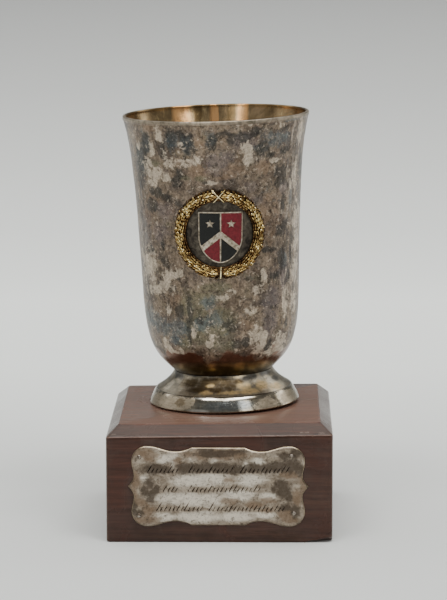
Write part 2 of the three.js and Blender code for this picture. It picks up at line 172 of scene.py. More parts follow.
def bezier(start, startSlope, startPull, end, endSlope, endPull, steps):
    span = math.hypot(end[0] - start[0], end[1] - start[1])
    first = (
        start[0] + startPull * span * math.cos(math.radians(startSlope)),
        start[1] + startPull * span * math.sin(math.radians(startSlope)),
    )
    second = (
        end[0] - endPull * span * math.cos(math.radians(endSlope)),
        end[1] - endPull * span * math.sin(math.radians(endSlope)),
    )
    points = []
    for i in range(steps + 1):
        t = i / steps
        weights = ((1 - t) ** 3, 3 * t * (1 - t) ** 2, 3 * t * t * (1 - t), t ** 3)
        corners = (start, first, second, end)
        points.append(tuple(sum(w * c[k] for w, c in zip(weights, corners)) for k in (0, 1)))
    return points


def evenly(points, spacing):
    lengths = [0.0]
    for one, other in zip(points, points[1:]):
        lengths.append(lengths[-1] + math.dist(one, other))
    count = max(1, round(lengths[-1] / spacing))
    placed = []
    i = 0
    for k in range(count + 1):
        want = lengths[-1] * k / count
        while i < len(points) - 2 and lengths[i + 1] < want:
            i += 1
        share = (want - lengths[i]) / max(lengths[i + 1] - lengths[i], 1e-9)
        placed.append(tuple(mix(a, b, share) for a, b in zip(points[i], points[i + 1])))
    return placed


def lineNormals(points, closed=False):
    normals = []
    count = len(points)
    for i in range(count):
        before = points[i - 1] if closed or i > 0 else points[0]
        after = points[(i + 1) % count] if closed or i < count - 1 else points[-1]
        x, y = after[0] - before[0], after[1] - before[1]
        length = math.hypot(x, y) or 1.0
        normals.append((y / length, -x / length))
    return normals


def movedAside(points, distance, closed=False):
    normals = lineNormals(points, closed)
    return [(p[0] + distance * n[0], p[1] + distance * n[1]) for p, n in zip(points, normals)]


# A profile of (radius, height) turned round the upright axis. A radius of 0 is one point.
def turned(profile, sides, closed=False):
    points, rings = [], []
    for radius, height in profile:
        if radius < 1e-6:
            rings.append([len(points)])
            points.append((0.0, 0.0, height))
            continue
        rings.append(list(range(len(points), len(points) + sides)))
        for i in range(sides):
            turn = 2 * math.pi * i / sides
            points.append((radius * math.sin(turn), -radius * math.cos(turn), height))
    faces = []
    pairs = list(zip(rings, rings[1:]))
    if closed:
        pairs.append((rings[-1], rings[0]))
    for low, high in pairs:
        for i in range(sides):
            k = (i + 1) % sides
            if len(low) == 1:
                faces.append((low[0], high[k], high[i]))
            elif len(high) == 1:
                faces.append((low[i], low[k], high[0]))
            else:
                faces.append((low[i], low[k], high[k], high[i]))
    return points, faces


# Triangles inside a closed outline, with a grid of inner points so that the sheet can bend
def fillFlat(outline, spacing, grooves=()):
    points = list(outline)
    edges = [(i, (i + 1) % len(outline)) for i in range(len(outline))]
    deep = set()
    for groove in grooves:
        start = len(points)
        points += groove["edge"]
        count = len(groove["edge"])
        edges += [(start + i, start + (i + 1) % count) for i in range(count)]
        middle = len(points)
        points += groove["line"]
        deep.update(range(middle, len(points)))
        edges += [(middle + i, middle + i + 1) for i in range(len(groove["line"]) - 1)]
    xs = [p[0] for p in outline]
    ys = [p[1] for p in outline]
    for i in range(1, int((max(xs) - min(xs)) / spacing) + 1):
        for k in range(1, int((max(ys) - min(ys)) / spacing) + 1):
            x = min(xs) + (i + 0.5 * (k % 2)) * spacing
            y = min(ys) + k * spacing
            if insideOutline(outline, x, y) and clearOf(outline, grooves, x, y, spacing * 0.45):
                points.append((x, y))
    made = delaunay_2d_cdt([Vector(p) for p in points], edges, [], 1, 1e-6)
    sunk = [any(source in deep for source in sources) for sources in made[3]]
    return [tuple(p) for p in made[0]], [tuple(face) for face in made[2]], sunk


def insideOutline(outline, x, y):
    inside = False
    for (ax, ay), (bx, by) in zip(outline, outline[1:] + outline[:1]):
        if (ay > y) != (by > y) and x < ax + (y - ay) * (bx - ax) / (by - ay):
            inside = not inside
    return inside


def clearOf(outline, grooves, x, y, reach):
    for px, py in outline:
        if (px - x) ** 2 + (py - y) ** 2 < reach * reach:
            return False
    for groove in grooves:
        for px, py in groove["edge"]:
            if (px - x) ** 2 + (py - y) ** 2 < reach * reach:
                return False
    return True


def denser(outline, longest):
    points = []
    for one, other in zip(outline, outline[1:] + outline[:1]):
        count = max(1, math.ceil(math.dist(one, other) / longest))
        points += [tuple(mix(a, b, i / count) for a, b in zip(one, other)) for i in range(count)]
    return points


# A flat plate with a small bevel round its upper edge, as points of across, up and out
def plate(outline, low, high, bevel, spacing, grooves=(), grooveDepth=0.0):
    area = sum(a[0] * b[1] - b[0] * a[1] for a, b in zip(outline, outline[1:] + outline[:1]))
    if area < 0:
        outline = outline[::-1]
    top = movedAside(outline, -bevel, closed=True)
    topPoints, topFaces, sunk = fillFlat(top, spacing, grooves)
    lowPoints, lowFaces, _ = fillFlat(outline, spacing * 2)
    points = [(x, y, high - (grooveDepth if deep else 0.0)) for (x, y), deep in zip(topPoints, sunk)]
    faces = list(topFaces)
    base = len(points)
    points += [(x, y, low) for x, y in lowPoints]
    faces += [tuple(base + i for i in reversed(face)) for face in lowFaces]
    wall = len(points)
    count = len(outline)
    points += [(x, y, low) for x, y in outline]
    points += [(x, y, high - bevel) for x, y in outline]
    points += [(x, y, high) for x, y in top]
    for level in (0, 1):
        for i in range(count):
            k = (i + 1) % count
            a = wall + level * count
            faces.append((a + i, a + k, a + count + k, a + count + i))
    return points, faces


def joined(shapes):
    points, faces = [], []
    for shapePoints, shapeFaces in shapes:
        base = len(points)
        points += shapePoints
        faces += [tuple(base + i for i in face) for face in shapeFaces]
    return points, faces


# Camera, as the photograph was taken, with a long lens from a little above

view = {
    "across": 0.87, "above": 83.4, "distance": 1040.9,
    "azimuth": 1.06, "elevation": 9.405, "roll": -0.08,
    "focalPixels": 2760.4, "imageWidth": 447, "imageHeight": 600, "sensor": 36.0,
}


# Direction towards a place that many degrees to the right of the front and above the floor
def lookingFrom(azimuth, elevation):
    turn, rise = math.radians(azimuth), math.radians(elevation)
    return Vector((math.sin(turn) * math.cos(rise), -math.cos(turn) * math.cos(rise), math.sin(rise)))


def makeCamera():
    data = bpy.data.cameras.new("camera")
    data.sensor_width = view["sensor"]
    data.lens = view["focalPixels"] / view["imageHeight"] * view["sensor"]
    data.clip_start = 0.05
    data.clip_end = 20
    camera = bpy.data.objects.new("camera", data)
    bpy.context.scene.collection.objects.link(camera)
    bpy.context.scene.camera = camera
    camera.rotation_mode = "QUATERNION"
    camera.location, camera.rotation_quaternion = viewPose()


# Where the photograph was taken from, and how the camera was turned
def viewPose():
    back = lookingFrom(view["azimuth"], view["elevation"])
    target = Vector((view["across"], 0, view["above"])) * mm
    aim = (-back).to_track_quat("-Z", "Y").to_matrix()
    roll = Matrix.Rotation(math.radians(view["roll"]), 3, "Z")
    return target + back * view["distance"] * mm, (aim @ roll).to_quaternion()


# Marks are picked in the photograph and placed along its lines of sight, so they stay on the piece
# in every view. Distances are mm before and past the distance that the camera aims at.
sight = {"before": 50, "past": 25, "halvings": 10, "leastWide": 0.8, "leastTall": 0.3}


# Line of sight through a place in the photograph, across and down in its pixels: where it starts,
# in mm, and which way it goes
def sightThrough(x, y):
    start, aim = viewPose()
    way = Vector((x - view["imageWidth"] / 2, view["imageHeight"] / 2 - y, -view["focalPixels"]))
    return start / mm, (aim @ way).normalized()


# A mark's middle and half sizes as the photograph shows it, turned into those on its own surface.
# "seenAt" finds a pixel's place on that surface.
def placedMark(mark, seenAt):
    x, y, wide, tall = mark
    left, right = (seenAt(x + side * wide, y)[0] for side in (-1, 1))
    high, low = (seenAt(x, y + side * tall)[1] for side in (-1, 1))
    halfWide = max((right - left) / 2, sight["leastWide"])
    return (*seenAt(x, y), halfWide, max((high - low) / 2, sight["leastTall"]))


makeCamera()
print("camera made")


# Where the cup stands: its own frame is millimetres from the middle of the foot's underside

block = {
    "width": 83.0, "depth": 83.0, "height": 43.7, "topFall": 0.75,
    "bevelWidth": 4.5, "bevelDrop": 4.0, "edgeRadius": 1.3, "footRounding": 0.5,
    # Where the rings of faces run, as shares of the sides' height and of the bevel's width
    "sideRings": (0.2, 0.4, 0.6, 0.8, 0.97), "bevelRings": (0.12, 0.25, 0.4, 0.55, 0.7, 0.85),
}
cup = {
    "across": 1.05, "back": 6.1, "lean": 1.63, "restGap": 0.15, "height": 109.45,
    "footRadius": 28.5, "rimRadius": 35.0, "rimThickness": 1.25, "rimBandHeight": 1.7,
    "rimBandProud": 0.3, "rimRounding": 0.4, "wall": 1.0, "sides": 336, "rowSpacing": 0.68,
    "innerSpacing": 2.0,
    # Soft start of the rim band: in from the rim's radius and up from the band's foot
    "rimCove": [(0.08, 0.12), (0.0, 0.35)],
}


def blockTopAt(x):
    return block["height"] + x * math.tan(math.radians(block["topFall"]))


leanSin = math.sin(math.radians(cup["lean"]))
leanCos = math.cos(math.radians(cup["lean"]))
edgeFall = leanSin - leanCos * math.tan(math.radians(block["topFall"]))
cupFoot = blockTopAt(cup["across"]) + cup["footRadius"] * abs(edgeFall) + cup["restGap"]


def cupToRow(point):
    x, y, z = point
    return (
        cup["across"] + x * leanCos - z * leanSin,
        cup["back"] + y,
        cupFoot + x * leanSin + z * leanCos,
    )


# Degrees round the cup from its front, towards the right, and height above the foot's underside
def roundAndUp(point):
    x, y, z = point[0] - cup["across"], point[1] - cup["back"], point[2] - cupFoot
    across = x * leanCos + z * leanSin
    up = -x * leanSin + z * leanCos
    return math.degrees(math.atan2(across, -y)), up, math.hypot(across, y)


# Radius of a profile, a line of (radius, height) from its foot up
def radiusOn(line, height):
    for one, other in zip(line, line[1:]):
        if other[1] >= height:
            return mix(one[0], other[0], (height - one[1]) / max(other[1] - one[1], 1e-9))
    return line[-1][0]


# Where the line of sight first meets a turned wall: degrees round and height. A line that misses
# gives the place where it passes nearest.
def seenOnWall(x, y, line):
    start, way = sightThrough(x, y)

    def metAt(distance):
        turn, up, radius = roundAndUp(start + way * distance)
        up = min(max(up, line[0][1]), line[-1][1])
        return radius - radiusOn(line, up), turn, up

    near = view["distance"] - sight["before"]
    nearest = metAt(near)
    for step in range(1, sight["before"] + sight["past"] + 1):
        met = metAt(near + step)
        nearest = min(nearest, met)
        if met[0] < 0:
            outside, inside = near + step - 1, near + step
            for _ in range(sight["halvings"]):
                middle = (outside + inside) / 2
                if metAt(middle)[0] < 0:
                    inside = middle
                else:
                    outside = middle
            nearest = metAt(outside)
            break
    return nearest[1:]


# Bowl

outline = {
    "undersideHeight": 7.8,
    "base": (18.0, 11.6), "baseSlope": 48.7,
    "belly": (29.55, 43.6), "bellySlope": 88.2,
    "rimSlope": 80.0,
    # How far each curve keeps to its end slopes, as shares of its span
    "underPulls": (0.45, 0.25), "heelPulls": (0.26, 0.74), "wallPulls": (0.88, 0.1),
}
hammer = {
    "cell": 3.1, "cellStretch": 0.7, "depth": 0.06, "from": 21.0, "fade": 5.0,
    "plainBelowRim": (6.0, 2.5), "wrinkle": 0.05, "wrinkleAcross": 1.3, "wrinkleUp": 5.0,
    # The rougher strip: degrees round, half width in degrees, depth of its wrinkles
    "roughSide": 56.0, "roughWidth": 34.0, "roughWrinkle": 0.12,
}
# Tarnish spots as the photograph shows them, and the tall thin pale and dark stripes near its right edge,
# which are painted highlights and shade of the hammered ripples: across, down, half width and half height
# in pixels
tarnishAndLightSeen = {
    "pale": [
        (159, 135, 4, 9), (152, 150, 2.5, 8), (139, 147, 2.5, 5), (148, 165, 5, 8), (155, 175, 6, 9),
        (166, 160, 3, 9), (172, 163, 8, 5), (185, 163, 7, 5), (196, 160, 6, 5), (180, 146, 3, 4),
        (166, 178, 5, 5), (150, 183, 4, 4), (179, 152, 2, 3), (212, 183, 6, 2.5), (245, 150, 6, 8),
        (250, 160, 7, 7), (275, 160, 6, 3), (290, 182, 2.5, 6), (294, 175, 3, 15), (300, 130, 3, 12),
        (297, 215, 3, 15), (296, 240, 3, 12), (295, 270, 3, 15), (293, 300, 3, 12), (283, 125, 3, 3),
        (251, 125, 4, 2), (238, 125, 4, 2), (170, 275, 8, 6), (180, 273, 5, 4), (165, 285, 8, 5),
        (155, 290, 10, 5), (148, 265, 6, 20), (169, 310, 2.5, 7), (258, 290, 6, 5), (264, 275, 3, 10),
        (222, 298, 8, 3), (232, 292, 7, 3), (250, 312, 8, 6), (254, 335, 4.5, 13), (262, 340, 6, 10),
        (280, 340, 6, 10), (275, 352, 10, 4), (194, 333, 2.5, 5.5), (208, 330, 4, 4),
        (212, 338, 3.5, 4), (209, 345, 4, 4), (165, 340, 2.5, 4), (168, 347, 4, 5), (172, 352, 8, 3),
        (182, 350, 3, 3), (256, 352, 5, 3), (236, 351, 2, 1.5), (285, 300, 3, 15),
    ],
    "dark": [
        (164, 150, 3, 7), (146, 142, 4, 10), (141, 155, 4, 12), (171, 140, 6, 9), (185, 142, 7, 10),
        (193, 150, 4, 4), (211, 143, 5, 7), (223, 134, 6, 3), (232, 140, 5, 6), (243, 137, 6, 5),
        (255, 132, 8, 4), (262, 150, 7, 6), (270, 154, 5, 3), (285, 150, 4, 3), (282, 172, 6, 8),
        (280, 182, 4, 6), (281, 230, 5, 6), (281, 258, 5, 10), (268, 250, 8, 3), (275, 275, 4, 4),
        (156, 193, 6, 5), (165, 197, 5, 4), (176, 182, 6, 5), (180, 173, 4, 4), (152, 205, 6, 7),
        (140, 172, 3, 14), (206, 183, 5, 2), (163, 246, 2, 6), (152, 250, 3, 4), (165, 262, 3, 5),
        (178, 278, 3, 4), (172, 287, 4, 2), (245, 342, 4, 6), (237, 345, 5, 5), (190, 312, 3, 14),
        (189, 333, 2, 14), (180, 310, 4, 9), (230, 326, 8, 6), (286, 322, 1.5, 5), (288, 275, 1.5, 8),
        (290, 253, 1.5, 8), (286, 222, 2.5, 6), (283, 203, 2, 12), (200, 320, 4, 3), (262, 333, 5, 2),
        (268, 345, 3, 6), (271.5, 307, 1.5, 1.5), (300, 325, 2, 12), (301, 165, 2, 12),
    ],
    "blue": [
        (171, 140, 7, 9), (186, 145, 7, 9), (146, 143, 4, 11), (212, 141, 5, 6), (277, 138, 12, 8),
        (262, 148, 7, 5), (292, 118, 6, 5), (141, 158, 4, 14), (283, 258, 4, 9), (160, 325, 9, 8),
        (165, 330, 5, 6), (150, 318, 7, 12), (178, 328, 10, 9), (175, 340, 7, 5), (290, 198, 2, 11),
        (210, 303, 7, 6), (200, 325, 8, 6), (215, 320, 8, 8),
    ],
    "olive": [
        (200, 325, 14, 18), (222, 325, 14, 18), (185, 345, 7, 6), (225, 346, 14, 5),
        (205, 300, 18, 8), (188, 305, 8, 12), (215, 287, 14, 4), (155, 164, 4, 4), (184, 178, 7, 2.5),
        (200, 179, 7, 2.5),
    ],
    "purple": [
        (215, 165, 11, 9), (226, 157, 8, 5), (252, 187, 6, 5), (258, 200, 6, 6), (244, 141, 12, 7),
        (285, 187, 5, 5), (270, 320, 7, 17), (272, 298, 9, 10), (165, 212, 9, 9), (146, 232, 5, 18),
        (160, 232, 8, 10), (284, 275, 4, 15),
    ],
    "warm": [
        (155, 225, 6, 9), (150, 215, 8, 7), (170, 212, 5, 7), (200, 172, 14, 6), (235, 170, 12, 6),
        (262, 168, 11, 6), (267, 207, 6, 14), (275, 217, 5, 14), (268, 235, 5, 9), (245, 325, 9, 9),
        (176, 302, 7, 8), (150, 128, 7, 4), (200, 140, 5, 9), (240, 158, 7, 5), (225, 178, 7, 2),
        (155, 200, 8, 6),
    ],
}
# More spots: degrees round, height, half width in degrees, half height in mm
tarnishAndLight = {
    "pale": [
        (128, 70, 14, 9), (-120, 40, 12, 8), (175, 90, 12, 6), (160, 30, 10, 5), (-100, 98, 8, 5),
    ],
    "dark": [
        (100, 97, 9, 7), (-100, 84, 10, 7), (150, 55, 9, 9), (-150, 68, 8, 12), (-170, 30, 10, 6),
    ],
    "blue": [
        (140, 96, 14, 8), (-140, 100, 12, 6), (-95, 34, 12, 7),
    ],
    "olive": [
        (-140, 34, 18, 9), (120, 30, 16, 7),
    ],
    "purple": [
        (110, 60, 14, 12), (-120, 64, 12, 10), (-175, 60, 12, 12),
    ],
    "warm": [
        (130, 84, 12, 7), (-90, 60, 10, 9), (-160, 92, 12, 7),
    ],
    # Thin upright lines on the hammered sides: painted highlights and shade of the ripples
    "crackle": [
        (57, 62, 15, 34), (62, 96, 14, 20), (-66, 62, 10, 40), (-150, 60, 20, 30),
    ],
    # On the far wall inside: painted highlights where the lamps are reflected, then painted shade
    "glow": [
        (-155, 104, 6, 30), (163, 104, 3.5, 30), (-178, 104, 3, 30),
    ],
    "shade": [
        (-167, 104, 3, 30), (171, 104, 3, 30),
    ],
}


def bowlOutline():
    middle = (0.0, outline["undersideHeight"])
    base, belly = outline["base"], outline["belly"]
    rimFoot = (cup["rimRadius"] - cup["rimBandProud"], cup["height"] - cup["rimBandHeight"])
    baseSlope, bellySlope, rimSlope = (outline[k] for k in ("baseSlope", "bellySlope", "rimSlope"))
    (underA, underB), (heelA, heelB) = outline["underPulls"], outline["heelPulls"]
    wallA, wallB = outline["wallPulls"]
    under = bezier(middle, 0, underA, base, baseSlope, underB, 60)
    heel = bezier(base, baseSlope, heelA, belly, bellySlope, heelB, 120)
    wall = bezier(belly, bellySlope, wallA, rimFoot, rimSlope, wallB, 160)
    return under + heel[1:] + wall[1:]


bowlLine = bowlOutline()


def bowlRadiusAt(height):
    return radiusOn(bowlLine, height)


def bowlHeightAt(radius):
    for one, other in zip(bowlLine, bowlLine[1:]):
        if other[0] >= radius:
            return mix(one[1], other[1], (radius - one[0]) / max(other[0] - one[0], 1e-9))
    return bowlLine[-1][1]


# Hammer blows leave shallow dishes that meet in soft ridges, drawn out upright
def hammered(point):
    x, y, z = point
    fade = smoothStep(hammer["from"], hammer["from"] + hammer["fade"], z)
    fadeLow, fadeHigh = (cup["height"] - reach for reach in hammer["plainBelowRim"])
    fade *= 1 - smoothStep(fadeLow, fadeHigh, z)
    cell = Vector((x, y, z * hammer["cellStretch"])) / hammer["cell"]
    near = noise.voronoi(cell)[0][0]
    across, up = hammer["wrinkleAcross"], hammer["wrinkleUp"]
    wrinkle = noise.noise(Vector((x / across, y / across, z / up)))
    off = abs(math.degrees(math.atan2(x, -y)) - hammer["roughSide"]) / hammer["roughWidth"]
    wrinkleDepth = mix(hammer["roughWrinkle"], hammer["wrinkle"], smoothStep(0.3, 1.0, off))
    return fade * (hammer["depth"] * (near * near * 2 - 0.5) + wrinkleDepth * wrinkle)


def bowlPiece(material):
    outside = evenly(bowlLine, cup["rowSpacing"])
    inside = movedAside(evenly(bowlLine, cup["innerSpacing"]), -cup["wall"])
    inside = [(0.0, inside[0][1])] + [(max(x, 0.0), y) for x, y in inside[1:]]
    inner = cup["rimRadius"] - cup["rimThickness"]
    rounding = cup["rimRounding"]
    top = cup["height"]
    low = top - cup["rimBandHeight"]
    arc = [math.radians(15 * i) for i in range(7)]
    rim = [(cup["rimRadius"] - inward, low + up) for inward, up in cup["rimCove"]]
    rim += [
        (cup["rimRadius"] - rounding + rounding * math.cos(a), top - rounding + rounding * math.sin(a))
        for a in arc
    ]
    rim += [
        (inner + rounding - rounding * math.sin(a), top - rounding + rounding * math.cos(a))
        for a in arc
    ]
    lip = inside[-1][1]
    rim.append((inner, mix(top, lip, 0.6)))
    profile = outside + rim + inside[::-1]
    points, faces = turned(profile, cup["sides"])
    # The outside alone is hammered, along its own normals
    normals = lineNormals(outside)
    moved = []
    for i, point in enumerate(points):
        ring = 0 if i == 0 else 1 + (i - 1) // cup["sides"]
        if 0 < ring < len(outside):
            out = hammered(point)
            across, up = normals[ring]
            turn = math.atan2(point[0], -point[1])
            point = (
                point[0] + out * across * math.sin(turn),
                point[1] - out * across * math.cos(turn),
                point[2] + out * up,
            )
        moved.append(point)
    piece = makePiece(
        "tarnishedBowl", [cupToRow(p) for p in moved], faces, material, "bowl", 50,
    )
    for kind, placed in tarnishAndLight.items():
        seen = [placedMark(m, lambda x, y: seenOnWall(x, y, bowlLine)) for m in tarnishAndLightSeen.get(kind, [])]
        paint(piece, kind, lambda co, spots=seen + placed: bowlSpot(co, spots))
    paint(piece, "gilding", insideBowl)
    paint(piece, "rimBand", lambda co: smoothStep(low + 0.2, low + 0.7, roundAndUp(co)[1]))
    paint(piece, "heel", lambda co: min(max((28.0 - roundAndUp(co)[1]) / 14.0, 0.0), 1.0))
    return piece


def bowlSpot(co, spots):
    turn, up, _ = roundAndUp(co)
    return spotStrength(spots, turn, up)


def insideBowl(co):
    _, up, radius = roundAndUp(co)
    wall = bowlRadiusAt(min(up, cup["height"] - cup["rimBandHeight"]))
    return 1.0 if up > outline["undersideHeight"] + 0.6 and radius < wall - 0.55 else 0.0


# Tarnished silver, planished: brown-grey sulphide film with pale rubbed and blue-black parts; on its
# sides, painted highlights and shade of the hammered ripples, and inside, painted highlights and shade on
# the gilt
def tarnishedSilver():
    material, tree, shader = newMaterial("Tarnished hammered silver")
    place = addNode(tree, "ShaderNodeTexCoord").outputs["Object"]
    gilding, rimBand, heel = (
        addNode(tree, "ShaderNodeAttribute", {"attribute_name": kind}).outputs["Fac"]
        for kind in ("gilding", "rimBand", "heel")
    )
    # Clouds of tarnish about 16 mm across, mottles of 3 mm and grit of 0.9 mm
    clouds = addNode(tree, "ShaderNodeTexNoise", {
        "Scale": 1000 / 16, "Detail": 6.0, "Roughness": 0.66, "Distortion": 0.9,
    }, {"Vector": place})
    mottles = addNode(tree, "ShaderNodeTexNoise", {
        "Scale": 1000 / 3, "Detail": 6.0, "Roughness": 0.72, "Distortion": 0.8,
    }, {"Vector": place})
    grit = addNode(tree, "ShaderNodeTexNoise", {
        "Scale": 1000 / 0.9, "Detail": 3.0, "Roughness": 0.7, "Distortion": 0.4,
    }, {"Vector": place})
    upright = addNode(tree, "ShaderNodeMapping", {"Scale": (1.0, 1.0, 0.2)}, {"Vector": place})
    streaks = addNode(tree, "ShaderNodeTexNoise", {
        "Scale": 1000 / 1.7, "Detail": 4.0, "Roughness": 0.6,
    }, {"Vector": upright.outputs[0]})
    base = addNode(tree, "ShaderNodeValToRGB", {"stops": [
        (0.32, "#473e37"),
        (0.43, "#6c5e52"),
        (0.52, "#857564"),
        (0.60, "#62564c"),
        (0.70, "#45403d"),
    ]}, {"Fac": clouds.outputs["Fac"]})
    mottling = [(0.36, 0.5), (0.5, 1.0), (0.64, 1.5)]
    colour = shadedBy(tree, base.outputs["Color"], mottles.outputs["Fac"], 0.7, mottling)
    colour, _ = layFilms(tree, colour, place, [
        ("warm", "#87705c", 6, 2.8, 0.45, 0.6, 0.45),
        ("purple", "#706666", 7, 2.8, 0.5, 0.55, 0.45),
        ("olive", "#6c6a55", 5, 2.8, 0.5, 0.62, 0.45),
        ("blue", "#526269", 3.4, 3.4, 0.45, 0.55, 0.55),
        (None, "#56504c", 9, 4.0, 0.4, 0.5, 0.3),
        ("dark", "#3c3b39", 3, 3.8, 0.3, 0.75, 0.45),
        (None, "#383330", 2.2, 4.5, 0.2, 0.7, 0.42),
        ("pale", "#bfb09d", 2.8, 4.8, 0.22, 0.78, 0.68),
        (None, "#b8a997", 1.6, 4.5, 0.15, 0.6, 0.44),
    ])
    # Thin upright dark and pale lines: painted shade and highlights of the hammered ripples
    colour, _ = layFilms(tree, colour, upright.outputs[0], [
        ("crackle", "#3f3834", 1.7, 5.0, 0.25, 0.75, 1.12),
        ("crackle", "#b5a695", 2.1, 5.0, 0.2, 0.6, 1.4),
    ])
    # Thin dark and light lines where the film has crept and dried
    creep = addNode(tree, "ShaderNodeTexNoise", {
        "Scale": 1000 / 2.6, "Detail": 5.0, "Roughness": 0.62, "Distortion": 1.4,
    }, {"Vector": place})
    colour = shadedBy(tree, colour, creep.outputs["Fac"], 0.6, [
        (0.41, 1.0), (0.44, 0.5), (0.47, 1.0), (0.52, 1.0), (0.55, 1.7), (0.58, 1.0),
    ])
    colour = shadedBy(tree, colour, grit.outputs["Fac"], 0.7, [
        (0.35, 0.3), (0.45, 1.0), (0.6, 1.0), (0.7, 1.6),
    ])
    colour = shadedBy(tree, colour, streaks.outputs["Fac"], 0.45, [(0.36, 0.6), (0.5, 1.0), (0.64, 1.35)])
    # The heel keeps its polish below a wavy line, and mirrors the wood; its red-brown tone, graded by
    # height with a gold line, is partly a painted reflection of the wood and the foot
    wave = addNode(tree, "ShaderNodeTexNoise", {"Scale": 1000 / 9, "Detail": 3.0, "Distortion": 0.5}, {
        "Vector": place,
    })
    shore = addNode(tree, "ShaderNodeMath", {"operation": "MULTIPLY_ADD", 1: 1.6, 2: -0.8}, {
        0: wave.outputs["Fac"],
    })
    height = addNode(tree, "ShaderNodeMath", {"operation": "ADD"}, {0: shore.outputs[0], 1: heel})
    polish = addNode(tree, "ShaderNodeMapRange", {"From Min": 0.44, "From Max": 0.56}, {
        "Value": height.outputs[0],
    }).outputs[0]
    heelReflectionTone = addNode(tree, "ShaderNodeValToRGB", {"stops": [
        (0.5, "#6d5143"), (0.8, "#755c47"), (0.93, "#7d6a47"),
        (1.0, "#5e5038"),
    ]}, {"Fac": heel})
    heelReflectionMottled = shadedBy(tree, heelReflectionTone.outputs["Color"], mottles.outputs["Fac"], 0.5, mottling)
    colour = addNode(tree, "ShaderNodeMixRGB", {}, {
        "Fac": polish, "Color1": colour, "Color2": heelReflectionMottled,
    }).outputs["Color"]
    rimTone = addNode(tree, "ShaderNodeValToRGB", {"stops": [
        (0.38, "#77705f"), (0.5, "#a19482"), (0.62, "#b5a894"),
    ]}, {"Fac": mottles.outputs["Fac"]})
    colour = addNode(tree, "ShaderNodeMixRGB", {}, {
        "Fac": rimBand, "Color1": colour, "Color2": rimTone.outputs["Color"],
    }).outputs["Color"]
    # Gilt inside, a little streaked by wiping, with painted highlights where the lamps are reflected and
    # painted shade beside them
    gold = addNode(tree, "ShaderNodeValToRGB", {"stops": [
        (0.34, "#7c6a4e"),
        (0.5, "#a18a66"),
        (0.64, "#c4aa84"),
    ]}, {"Fac": clouds.outputs["Fac"]}).outputs["Color"]
    gold, _ = layFilms(tree, gold, upright.outputs[0], [
        # Painted shade, then painted highlights, on the gilt's far wall
        ("shade", "#5f4c30", 3, 1.5, 0.4, 0.8, 0.55),
        ("glow", "#ffc484", 3, 0.8, 0.4, 0.9, 0.5),
        (None, "#6c563c", 2.4, 4.0, 0.3, 0.5, 0.4),
        (None, "#e6cf9c", 2.0, 4.0, 0.3, 0.5, 0.45),
    ])
    colour = addNode(tree, "ShaderNodeMixRGB", {}, {
        "Fac": gilding, "Color1": colour, "Color2": gold,
    }).outputs["Color"]
    tree.links.new(colour, shader.inputs["Base Color"])
    shader.inputs["Metallic"].default_value = 1.0
    rough = addNode(tree, "ShaderNodeMapRange", {
        "From Min": 0.35, "From Max": 0.65, "To Min": 0.3, "To Max": 0.46,
    }, {"Value": mottles.outputs["Fac"]})
    polished = addNode(tree, "ShaderNodeMix", {"B": 0.24}, {"Factor": polish, "A": rough.outputs[0]})
    gilded = addNode(tree, "ShaderNodeMix", {"B": 0.24}, {
        "Factor": gilding, "A": polished.outputs[0],
    })
    tree.links.new(gilded.outputs[0], shader.inputs["Roughness"])
    bumps = addNode(tree, "ShaderNodeMath", {"operation": "ADD"}, {
        0: mottles.outputs["Fac"], 1: streaks.outputs["Fac"],
    })
    smooth = addNode(tree, "ShaderNodeMath", {"operation": "MAXIMUM"}, {0: polish, 1: gilding})
    strength = addNode(tree, "ShaderNodeMapRange", {"To Min": 0.75, "To Max": 0.06}, {
        "Value": smooth.outputs[0],
    })
    relief = addNode(tree, "ShaderNodeBump", {"Distance": 0.22 * mm}, {
        "Height": bumps.outputs[0], "Strength": strength.outputs[0],
    })
    tree.links.new(relief.outputs[0], shader.inputs["Normal"])
    return material


bowlPiece(tarnishedSilver())
print("bowl made")


# Foot: plain band, small step and flare, soldered to the bowl

foot = {
    "edgeWidth": 1.3, "edgeRounding": 0.55, "bandRadius": 26.0, "bandHeight": 5.3,
    "bandLowSlope": 113.0, "bandHighSlope": 120.0,
    "step": 0.4, "stepRise": 0.25, "neckRadius": 18.7, "startSlope": 150.0, "endSlope": 110.0,
    "pull": 0.32, "wall": 1.1, "solderGap": 0.2, "sides": 256, "waver": 0.04,
    # Soft edge between the band and the step: out from the band's radius and up from its height
    "shoulder": [(0.38, -0.75), (0.1, -0.37), (-0.16, -0.02), (-0.26, 0.07), (-0.36, 0.1)],
}
# Stains as the photograph shows them: across, down, half width and half height in pixels
footSeen = {
    "dark": [
        (193, 375, 7, 3), (180, 376, 5, 4), (212, 374, 4, 2), (224, 377, 3, 2), (252, 376, 5, 4),
        (265, 373, 6, 4), (236, 374, 5, 1.5), (245, 379, 4, 2), (176, 372, 2, 4), (275, 378, 4, 4),
    ],
    "brown": [
        (190, 383, 8, 5), (206, 385, 9, 6), (220, 382, 12, 6), (230, 385, 7, 6), (200, 390, 12, 3),
        (238, 382, 5, 3), (215, 390, 9, 3),
    ],
    "gold": [
        (211, 386, 4, 2), (244, 386, 7, 4), (262, 384, 8, 5), (275, 386, 9, 5), (238, 377, 5, 1.5),
        (206, 393, 6, 2.5), (250, 391, 13, 3), (230, 393, 11, 2),
    ],
    "matte": [
        (158, 400, 8, 10), (170, 403, 10, 8), (183, 404, 10, 7), (192, 402, 3, 5), (267, 404, 11, 8),
        (290, 396, 8, 8),
    ],
    "stain": [
        (180, 403, 5, 5),
    ],
}
